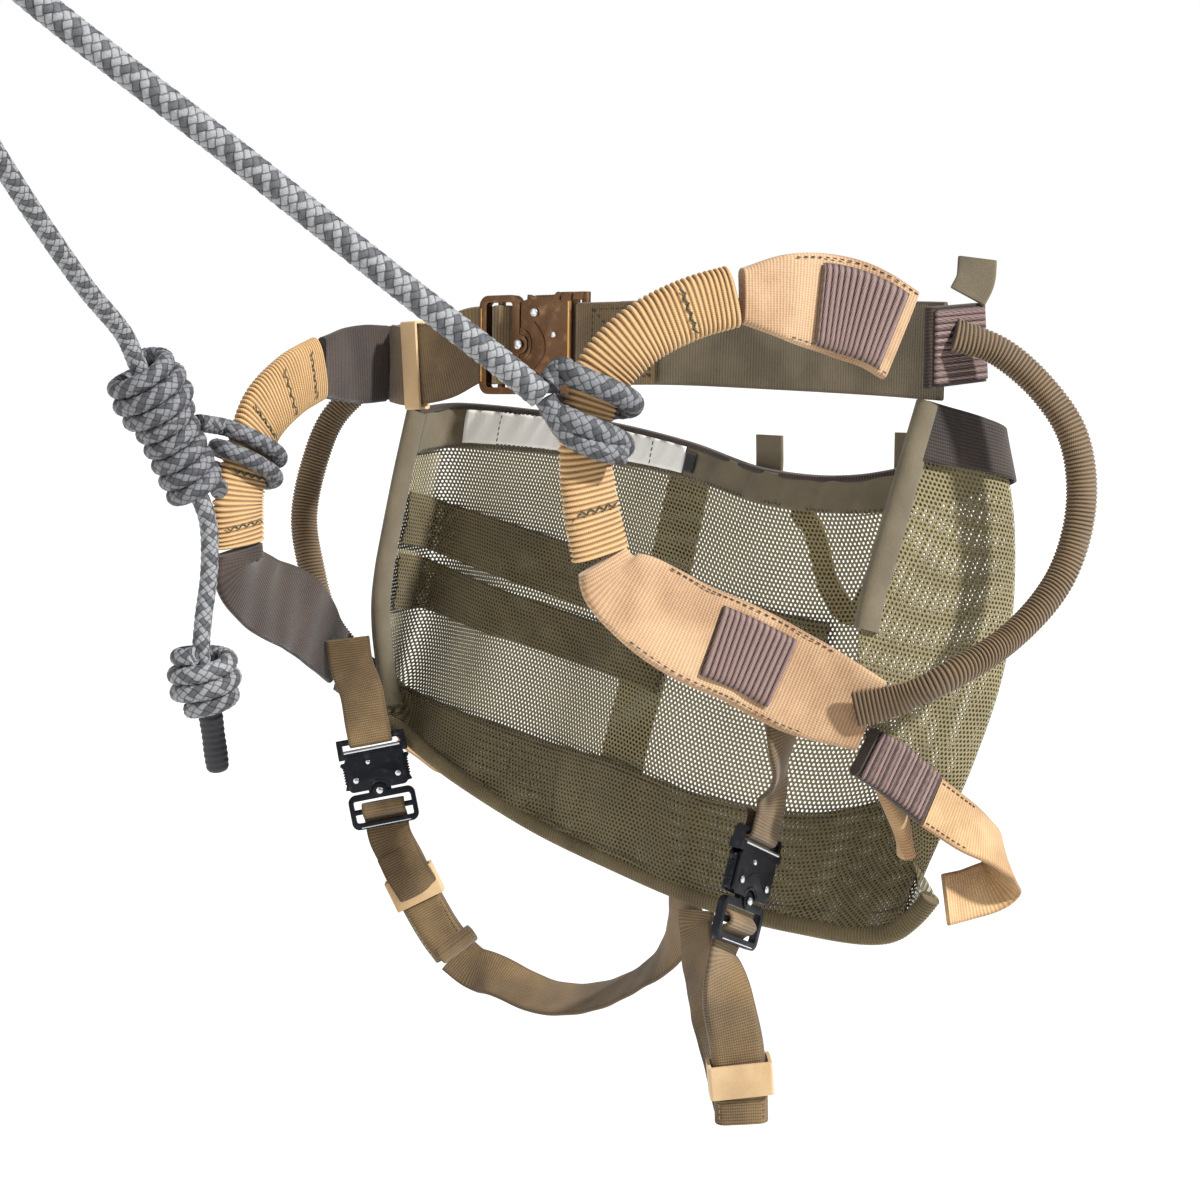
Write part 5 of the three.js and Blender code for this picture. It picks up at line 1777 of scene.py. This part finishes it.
@dataclass
class Hook:
    """The steel hook that the rope hangs from: body, gate and sliding lock."""

    tip: float = HOOK_LENGTH / 2 - 22

    def outline(self) -> list[Array]:
        """Returns the body's line in the saddle's frame."""
        half, wide, tip = HOOK_LENGTH / 2, HOOK_HALF_WIDE, self.tip
        flat = [
            (wide, tip + HOOK_BAR / 2 + 2.5), (wide - 3, half - 8), (wide - 14, half), (0, half),
            (-wide + 10, half - 4), (-wide, half - 18), (-wide, 0), (-wide, -half + 18),
            (-wide + 10, -half + 4),
            (0, -half), (wide - 14, -half), (wide - 3, -half + 8), (wide, -tip - HOOK_BAR / 2 - 2.5),
        ]
        side = np.cross((1, 0, 0), PULL)
        middle = PULL * (HOOK_BAR / 2 - HOOK_LENGTH / 2) - SADDLE
        return [middle + side * x + PULL * z for x, z in flat]

    def build(self) -> None:
        """Makes the hook."""
        body = rope_tube("hook_bar", self.outline(), HOOK_BAR / 2, None, 1.6, 32)
        dress(body, STEEL, "steel", node="hook_body")
        cad_copy("hook_gate", 0.8, STEEL, "steel", Body.HOOK_GATE)
        cad_copy("hook_lock", 0.5, STEEL, "steel", Body.HOOK_LOCK)


# ---------- buckles, belt and leg straps ----------
@dataclass
class Buckle:
    """A quick-release buckle: frame half, socket half, two levers, rivets and rims.

    Attributes:
        name: The CAD nodes' first words.
        origin: Its middle in the saddle's frame.
        along: The way from its frame half to its socket half.
        facing: The way that its front faces.
        scale: Its size against one for 45 mm webbing.
        metal: Its finish.
        rim: The finish of its end bar.
        slot: The record's slot.
        frame_body: The body of the frame half.
        socket_body: The body of the socket half.
        levers: The bodies of the upper and lower lever.
    """

    name: str
    origin: Point
    along: Point
    facing: Point
    scale: float
    metal: Finish
    rim: Finish
    slot: str
    frame_body: Body
    socket_body: Body
    levers: tuple[Body, Body]

    def __post_init__(self) -> None:
        """Works out the buckle's axes."""
        self.x = unit(self.along)
        facing = np.array(self.facing, float)
        self.z = unit(facing - self.x * facing.dot(self.x))
        self.y = np.cross(self.z, self.x)

    def at(self, x: float, y: float, z: float) -> Array:
        """Returns a place on the buckle in the saddle's frame."""
        return np.array(self.origin, float) + self.scale * (self.x * x + self.y * y + self.z * z)

    def station(
        self, x: float, z: float, face: Array, width: float, thick: float | None = None
    ) -> Station:
        """Returns a webbing station at a place on the buckle."""
        return Station(tuple(self.at(x, 0, z)), tuple(face), width, thick or WEBBING_THICK * self.scale)

    def frame_webbing(self, width: float) -> list[Station]:
        """Returns the webbing's stations behind the frame's rim and over its bar."""
        lean, fall = self.z - self.x, self.z + self.x
        return [
            self.station(-48, -4.6, self.z, width), self.station(-34, -4.6, self.z, width),
            self.station(-29.4, -1.6, lean, width), self.station(-27.8, 1.9, lean, width),
            self.station(-24, 4.15, self.z, width), self.station(-19.4, 0, fall, width),
            self.station(-18.8, -3.4, fall, width),
        ]

    def socket_webbing(self, width: float, reach: float) -> list[Station]:
        """Returns the webbing's stations round the end bar, reach past it on both sides."""
        places = [self.station(33 + r, 4.2, self.z, width) for r in (reach, reach / 2, 3)]
        for degrees in (60, 30, 0, -30, -60):
            angle = radians(degrees)
            out = self.z * sin(angle) - self.x * cos(angle)
            places.append(self.station(33 - 4.2 * cos(angle), 4.2 * sin(angle), out, width))
        return places + [self.station(33 + r, -4.2, -self.z, width) for r in (3, reach / 2, reach)]

    def build(self) -> None:
        """Makes the buckle."""
        cad_copy(f"{self.name}_frame", 0.9 * self.scale, self.metal, self.slot, self.frame_body, 3)
        cad_copy(f"{self.name}_socket", 0.8 * self.scale, self.metal, self.slot, self.socket_body, 3)
        for side, body in (("upper", self.levers[0]), ("lower", self.levers[1])):
            cad_copy(f"{self.name}_lever_{side}", 0.6 * self.scale, self.metal, self.slot, body)
        self.rivets()
        self.rims()
        self.teeth()

    def turned(
        self, name: str, x: float, y: float, profile: Sequence[tuple[float, float]], finish: Finish,
        body: Body
    ) -> None:
        """Turns a small round piece about the buckle's z axis from a profile of radius and height."""
        angle = np.linspace(0, TURN, 25)
        table = np.array(profile, float)
        local = np.zeros((len(table), len(angle), 3))
        local[..., 0] = x + table[:, :1] * np.cos(angle)
        local[..., 1] = y + table[:, :1] * np.sin(angle)
        local[..., 2] = table[:, 1:]
        self.grid(name, local, finish, body)

    def grid(self, name: str, local: Array, finish: Finish, body: Body) -> None:
        """Lays a closed grid given in the buckle's own frame."""
        axes = np.stack([self.x, self.y, self.z])
        places = np.array(self.origin, float) + self.scale * (local @ axes)
        piece = lay_grid(name, metres(places), local[..., :2] * MM, True, 30.0)
        dress(piece, finish, self.slot, body)

    def rivets(self) -> None:
        """Makes the rivets of the socket plate and the lobe's post."""
        spots = [(2.0, 17.0, 2.5, 5.2), (2.0, -17.0, 2.5, 5.2), (15.0, 5.0, 1.9, 4.4)]
        for i, (x, y, radius, z) in enumerate(spots):
            profile = [
                (0.02, z + 1.3), (radius * 0.5, z + 1.25), (radius * 0.85, z + 0.85), (radius, z + 0.3),
                (radius, z - 0.3),
            ]
            self.turned(f"{self.name}_rivet_{i + 1}", x, y, profile, CHROME, self.socket_body)
        lobe = [(0.02, 6.2), (1.6, 6.1), (2.6, 5.5), (2.9, 4.9), (2.9, 4.3)]
        self.turned(f"{self.name}_lobe_rivet", -9, 0, lobe, CHROME, self.frame_body)

    def rims(self) -> None:
        """Makes the bright end rim and the raised line round the lobe."""
        angles = [radians(degrees) for degrees in np.linspace(0, 360, 33)]
        ring = [(-9 + 8.6 * cos(a), 8.6 * sin(a)) for a in angles]
        keep = sorted((p for p in ring if p[0] > -7.2), key=lambda p: p[1])
        self.bead(
            f"{self.name}_lobe_line", [(x, y, 4.5) for x, y in keep], 0.55, self.metal, self.socket_body
        )
        curve = [
            (1.5, 12, 4.5), (5.5, 7.5, 4.5), (8.6, 1.5, 4.5), (8.4, -5, 4.5), (4.5, -10.5, 4.5),
            (1.5, -13, 4.5)
        ]
        self.bead(f"{self.name}_cover_line", curve, 0.5, self.metal, self.socket_body)
        top = [(25.2, y, 4.55) for y in np.linspace(-22.5, 22.5, 12)]
        self.bead(f"{self.name}_end_rim", top, 1.15, self.rim, self.socket_body)
        self.bead(
            f"{self.name}_frame_rim", [(-36.4, y, 2.45) for y in np.linspace(-20, 20, 12)], 0.6, self.rim,
            self.frame_body
        )

    def bead(self, name: str, points: Sequence[Point], radius: float, finish: Finish, body: Body) -> None:
        """Lays a fine raised line along points of the buckle."""
        line = [self.at(*p) for p in points]
        piece = rope_tube(name, line, radius * self.scale, None, 0.8, 12)
        dress(piece, finish, self.slot, body)

    def teeth(self) -> None:
        """Makes the serrations on the two levers' thumb edges."""
        for sign, body, word in ((1, self.levers[0], "upper"), (-1, self.levers[1], "lower")):
            for i in range(6):
                x = 0.5 + i * 2.2
                points = [(x, sign * 25.9, z) for z in (-1.7, -0.6, 0.6, 1.7)]
                self.bead(f"{self.name}_tooth_{word}_{i + 1}", points, 0.62, self.metal, body)


WAIST = Buckle(
    "waist_buckle", (-72, 20, 131), (0.975, 0.2, 0.02), (0.2, -0.97, 0.05), 1.0, BRONZE, GOLD, "bronze",
    Body.SADDLE, Body.WAIST_SOCKET, (Body.WAIST_LEVER_UPPER, Body.WAIST_LEVER_LOWER),
)
LEG_FAR = Buckle(
    "leg_buckle_far", (-160, -26, -118), (-0.2, -0.07, 0.97), (0.75, -0.65, 0.1), 0.72, BLACK, CHROME,
    "black_metal",
    Body.LEG_FAR_LOWER, Body.SADDLE, (Body.LEG_FAR_LEVER_UPPER, Body.LEG_FAR_LEVER_LOWER),
)
LEG_NEAR = Buckle(
    "leg_buckle_near", (150, -48, -112), (-0.07, 0.41, 0.91), (0.97, 0.22, 0), 0.72, BLACK, CHROME,
    "black_metal",
    Body.LEG_NEAR_LOWER, Body.SADDLE, (Body.LEG_NEAR_LEVER_UPPER, Body.LEG_NEAR_LEVER_LOWER),
)
FRONT: Point = (0.75, -0.65, 0.1)


def strap(
    name: str, node: str, places: Sequence[Station], finish: Finish, slot: str, body: Body,
    wave: float = 0.25
) -> None:
    """Makes a webbing strap that stands for a CAD node."""
    piece = sweep(name, Route(places), 1.1, warp=ripple_warp(44, wave))
    dress(piece, finish, slot, body, node=node)


@dataclass
class WaistBelt:
    """The waist belt: both webbings, the box-stitched fold and the elastic keeper."""

    face: Point = (0.1, -1, 0)

    def far(self) -> Route:
        """Returns the far webbing's route up to the frame half."""
        ends = [Station(at, self.face, 45) for at in ((-186, 8, 119), (-166, 4, 118), (-140, 9, 122))]
        return Route([*ends, *WAIST.frame_webbing(43)])

    def near(self) -> list[Station]:
        """Returns the near webbing's stations."""
        ends = [
            ((80, 48, 132), (0, -1, 0)), ((140, 47, 131), (-0.1, -1, 0)),
            ((187.2, 40, 130), (-0.1, -1, 0))
        ]
        inner = [
            WAIST.station(x, 0, WAIST.z, w, t) for x, w,
            t in ((55, 44, 4.4), (79, 44, 4.4), (103, 45, 2.4))
        ]
        return [*inner, *[Station(at, face, 45) for at, face in ends]]

    def build(self) -> None:
        """Makes the belt."""
        strap("belt_webbing_far", "belt_far", self.far().stations, COYOTE, "coyote", Body.SADDLE, 0.03)
        strap("belt_webbing_near", "belt_near", self.near(), BELT_OLIVE, "olive", Body.SADDLE)
        fold = WAIST.socket_webbing(43, 48)
        strap("belt_fold_webbing", "belt_fold", fold, COYOTE, "coyote", Body.WAIST_SOCKET, 0.1)
        cad_copy("belt_keeper", 0.5, KEEPER_TAN, "tan", Body.BELT_KEEPER, 3)
        self.stitches(Route(fold).even(240))

    def stitches(self, line: dict[str, Array]) -> None:
        """Makes the fold's box stitch."""
        seams = Threads("belt_fold_seams", THREAD_DARK)
        for share in (-0.82, 0.82):
            seams.row(line, share, 3.0, 40.0, 1.45)
        for run in (3.0, 40.0):
            for share in np.linspace(-0.8, 0.8, 11):
                seams.point(line, share, run, 1.45, radians(90))
        for sign in (-1, 1):
            for part in np.linspace(-0.78, 0.78, 13):
                seams.point(line, part * sign, 21.5 + part * 22, 1.45, sign * radians(42))
        seams.build("dark_webbing", Body.WAIST_SOCKET)


@dataclass
class LegStraps:
    """The leg straps: the doubled upper webbing, the rolled lower webbing, the keepers and the slack."""

    width: float = 25.0
    stack: float = 7.0

    def wide(self, at: Point, face: Point, thick: float = 2.4) -> Station:
        """Returns a leg strap's station."""
        return Station(at, face, self.width, thick)

    def build(self) -> None:
        """Makes both leg straps."""
        wide, stack = self.wide, self.stack
        near = (0.97, 0.22, 0.0)
        far_top = [
            wide((-169.7, -38.8, -36), FRONT), wide((-170, -36, -52), FRONT),
            wide((-168, -31, -68), FRONT)
        ]
        near_top = [
            wide((166, -40, -30), FACE_NEAR), wide((164, -39, -42), (0.98, 0.1, 0)),
            wide((159, -35, -56), (0.9, 0.4, 0)), wide((151, -32, -70), near),
        ]
        far_low = [
            wide((-127, 2, -219), FRONT, 11), wide((-133, -4, -207), FRONT, 11),
            wide((-141, -11, -188), FRONT, stack), wide((-148, -17, -168), FRONT, stack),
            *LEG_FAR.frame_webbing(25),
        ]
        near_low = [
            wide((150, -50, -224), FRONT, 9), wide((150, -51, -206), FRONT, stack),
            wide((150, -54, -186), FRONT, stack),
            wide((150, -60, -164), (0.9, -0.4, 0), 5), *LEG_NEAR.frame_webbing(25),
        ]
        far_up = [*far_top, *LEG_FAR.socket_webbing(25, 14)]
        near_up = [*near_top, *LEG_NEAR.socket_webbing(25, 14)]
        for name, node, places, body in (
            ("leg_webbing_far_upper", "leg_strap_far_upper", far_up, Body.SADDLE),
            ("leg_webbing_near_upper", "leg_strap_near_upper", near_up, Body.SADDLE),
            ("leg_webbing_far_lower", "leg_strap_far_lower", far_low, Body.LEG_FAR_LOWER),
            ("leg_webbing_near_lower", "leg_strap_near_lower", near_low, Body.LEG_NEAR_LOWER),
        ):
            strap(name, node, places, COYOTE_NARROW, "coyote", body, 0.15)
        cad_copy("leg_keeper_far", 0.5, KEEPER_TAN, "tan", Body.LEG_FAR_KEEPER, 3)
        cad_copy("leg_keeper_near", 0.5, KEEPER_TAN, "tan", Body.LEG_NEAR_KEEPER, 3)
        self.slack()
        self.roll()
        self.layers(far_low, "far", Body.LEG_FAR_LOWER)
        self.layers(near_low, "near", Body.LEG_NEAR_LOWER)

    def layers(self, places: Sequence[Station], word: str, body: Body) -> None:
        """Makes the edges of the lower strap's folded layers."""
        seams = Threads(f"leg_layers_{word}", THREAD_TAN, (2.2, 0.5, 0.4))
        line = Route(places).even(300)
        for share in (-0.86, 0.86):
            for run in np.arange(4.0, 30.0, 2.8):
                thick = float(np.interp(run, line["run"], line["thick"]))
                seams.point(line, share, run, thick / 2 + 0.15)
        seams.build("tan", body)

    def roll(self) -> None:
        """Makes the far strap's rolled end and its loose second layer."""
        middle = np.array((-126.0, 3.0, -214.0))
        out, ahead = unit(FRONT), unit((0.42, 0.42, -0.8))
        curl = []
        for degrees in np.linspace(0, 500, 19):
            angle, radius = radians(degrees), 5.4 - degrees * 0.0062
            curl.append(
                (middle + out * (radius * cos(angle) + 4.2) + ahead * radius * sin(angle), angle)
            )
        places = [Station(tuple(at), tuple(out * cos(a) + ahead * sin(a)), 24.0, 1.8) for at, a in curl]
        rolled = sweep("leg_roll_far", Route(places), 0.8)
        dress(rolled, COYOTE_NARROW, "coyote", Body.LEG_FAR_LOWER)
        pocket = [
            self.wide((-150, -21, -160), FRONT, 2.0), self.wide((-143, -20, -170), FRONT, 2.0),
            self.wide((-138, -17.5, -178), FRONT, 2.0), self.wide((-137, -12.5, -186), FRONT, 2.0),
        ]
        layer = sweep("leg_pocket_far", Route(pocket), 1.1, warp=ripple_warp(30, 0.5))
        dress(layer, COYOTE_NARROW, "coyote", Body.LEG_FAR_LOWER)

    def slack(self) -> None:
        """Makes the slack straps, which bend between the hem and the lower straps."""
        wide = self.wide
        far = [
            wide((-126.4, 2.7, -220.6), FRONT, 4.4), wide((-118, 9.5, -229), FRONT, 2.8),
            wide((-102, 14, -231), (0.6, -0.5, 0.6)),
            wide((-68, 22, -237), (0.1, -0.5, 0.85)), wide((-28, 28, -227), (-0.3, -0.5, 0.8)),
            wide((5, 30, -206), (-0.5, -0.6, 0.6)), wide((30, 26, -182), (-0.3, -0.95, 0.2)),
            wide((44, 20.6, -153.4), (0, -1, 0)),
        ]
        near = [
            wide((54, 17.6, -158.2), (0, -1, 0)), wide((55.5, 16, -166), (0, -1, 0)),
            wide((66, 7, -179), (0.1, -1, 0.1)),
            wide((90, -10, -192), (0.3, -0.9, 0.2)), wide((122, -29, -209), (0.6, -0.7, 0.2)),
            wide((145, -45.7, -219), FRONT),
        ]
        for name, node, places, body, reverse in (
            ("leg_slack_webbing_far", "leg_slack_far", far, Body.LEG_FAR_LOWER, True),
            ("leg_slack_webbing_near", "leg_slack_near", near, Body.LEG_NEAR_LOWER, False),
        ):
            piece = sweep(name, Route(places), 1.1, warp=ripple_warp(50, 0.3))
            piece.data.materials.clear()
            piece.data.materials.append(COYOTE_NARROW.material())
            hem, foot = (places[-1], places[0]) if reverse else (places[0], places[-1])
            start, end = ((np.array(s.at) + SADDLE) * MM for s in (hem, foot))
            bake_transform(piece)
            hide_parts(node)


# ---------- studio ----------
@dataclass
class Studio:
    """The pale floor, the soft lights and the camera."""

    target: Point = (0.0, 0.458, -0.381)
    azimuth: float = 47.0
    elevation: float = 8.0
    reach: float = 1.04
    lens: float = 60.0
    fill: float = 0.32
    ground: float = -1.5
    key_way: Point = (0.74, 0.36, 0.62)
    key_power: float = 5.2
    key_spread: float = 5.0

    def build(self) -> None:
        """Makes the studio."""
        scene = bpy.context.scene
        scene.view_settings.view_transform = "Standard"
        scene.view_settings.look = "None"
        world = bpy.data.worlds.new("studio")
        scene.world = world
        world.use_nodes = True
        self.sky(world.node_tree)
        self.camera(scene)
        self.floor(self.ground)
        self.sun("key", self.key_way, self.key_power, self.key_spread)
        self.light("front", (-0.3, -1.6, 0.5), 1.6, 9.0)

    def sky(self, tree: bpy.types.NodeTree) -> None:
        """Makes the white surround: bright to look at, and a softer light on the saddle."""
        back = tree.nodes["Background"]
        back.inputs["Color"].default_value = (1.0, 1.0, 1.0, 1.0)
        path = tree.nodes.new("ShaderNodeLightPath")
        strength = tree.nodes.new("ShaderNodeMapRange")
        strength.inputs["To Min"].default_value = self.fill
        strength.inputs["To Max"].default_value = 1.0
        tree.links.new(path.outputs["Is Camera Ray"], strength.inputs["Value"])
        tree.links.new(strength.outputs["Result"], back.inputs["Strength"])

    def sun(self, name: str, way: Point, power: float, spread: float) -> None:
        """Adds the key light.

        Args:
            name: Its name.
            way: The way to it, as shares of the camera's right, towards the camera and up.
            power: Its strength.
            spread: Its size in degrees.
        """
        turn = radians(self.azimuth)
        right = Vector((cos(turn), sin(turn), 0))
        near = Vector((sin(turn), -cos(turn), 0))
        data = bpy.data.lights.new(name, "SUN")
        data.energy, data.angle = power, radians(spread)
        light = bpy.data.objects.new(name, data)
        way_to = right * way[0] + near * way[1] + Vector((0, 0, way[2]))
        light.rotation_euler = (-way_to).to_track_quat("-Z", "Y").to_euler()
        bpy.context.scene.collection.objects.link(light)

    def camera(self, scene: bpy.types.Scene) -> None:
        """Sets the camera."""
        data = bpy.data.cameras.new("camera")
        data.lens = self.lens
        data.sensor_width = 36.0
        data.clip_start, data.clip_end = 0.02, 60.0
        camera = bpy.data.objects.new("camera", data)
        scene.collection.objects.link(camera)
        turn, rise = radians(self.azimuth), radians(self.elevation)
        away = Vector((sin(turn) * cos(rise), -cos(turn) * cos(rise), sin(rise)))
        middle = Vector(self.target)
        camera.location = middle + away * self.reach
        camera.rotation_euler = (middle - camera.location).to_track_quat("-Z", "Y").to_euler()
        scene.camera = camera

    def floor(self, height: float) -> None:
        """Makes the floor."""
        deselect()
        bpy.ops.mesh.primitive_grid_add(
            x_subdivisions=8, y_subdivisions=8, size=60, location=(0, 0, height)
        )
        ground = bpy.context.object
        ground.name = "floor"
        bpy.ops.object.transform_apply(location=True)
        ground.data.materials.append(Paint("floor", rgb(0xF7F7F5)).material())

    def light(self, name: str, at: Point, size: float, power: float) -> None:
        """Adds a soft square light that faces the saddle."""
        data = bpy.data.lights.new(name, "AREA")
        data.size, data.energy = size, power
        light = bpy.data.objects.new(name, data)
        middle = Vector(self.target)
        light.location = middle + Vector(at)
        light.rotation_euler = (middle - light.location).to_track_quat("-Z", "Y").to_euler()
        bpy.context.scene.collection.objects.link(light)


def main() -> None:
    """Builds the studio and every sub-assembly in order, and reports them."""
    logging.basicConfig(level=logging.INFO, format="%(name)s: %(message)s")
    for assembly in (
        Studio(), RopeBridge(), Hook(), Seat(), BridgeLoops(), SideLoops(), WaistBelt(), WAIST, LEG_FAR,
        LEG_NEAR, LegStraps(),
    ):
        log.info("building %s", type(assembly).__name__)
        assembly.build()


if __name__ == "__main__":
    main()
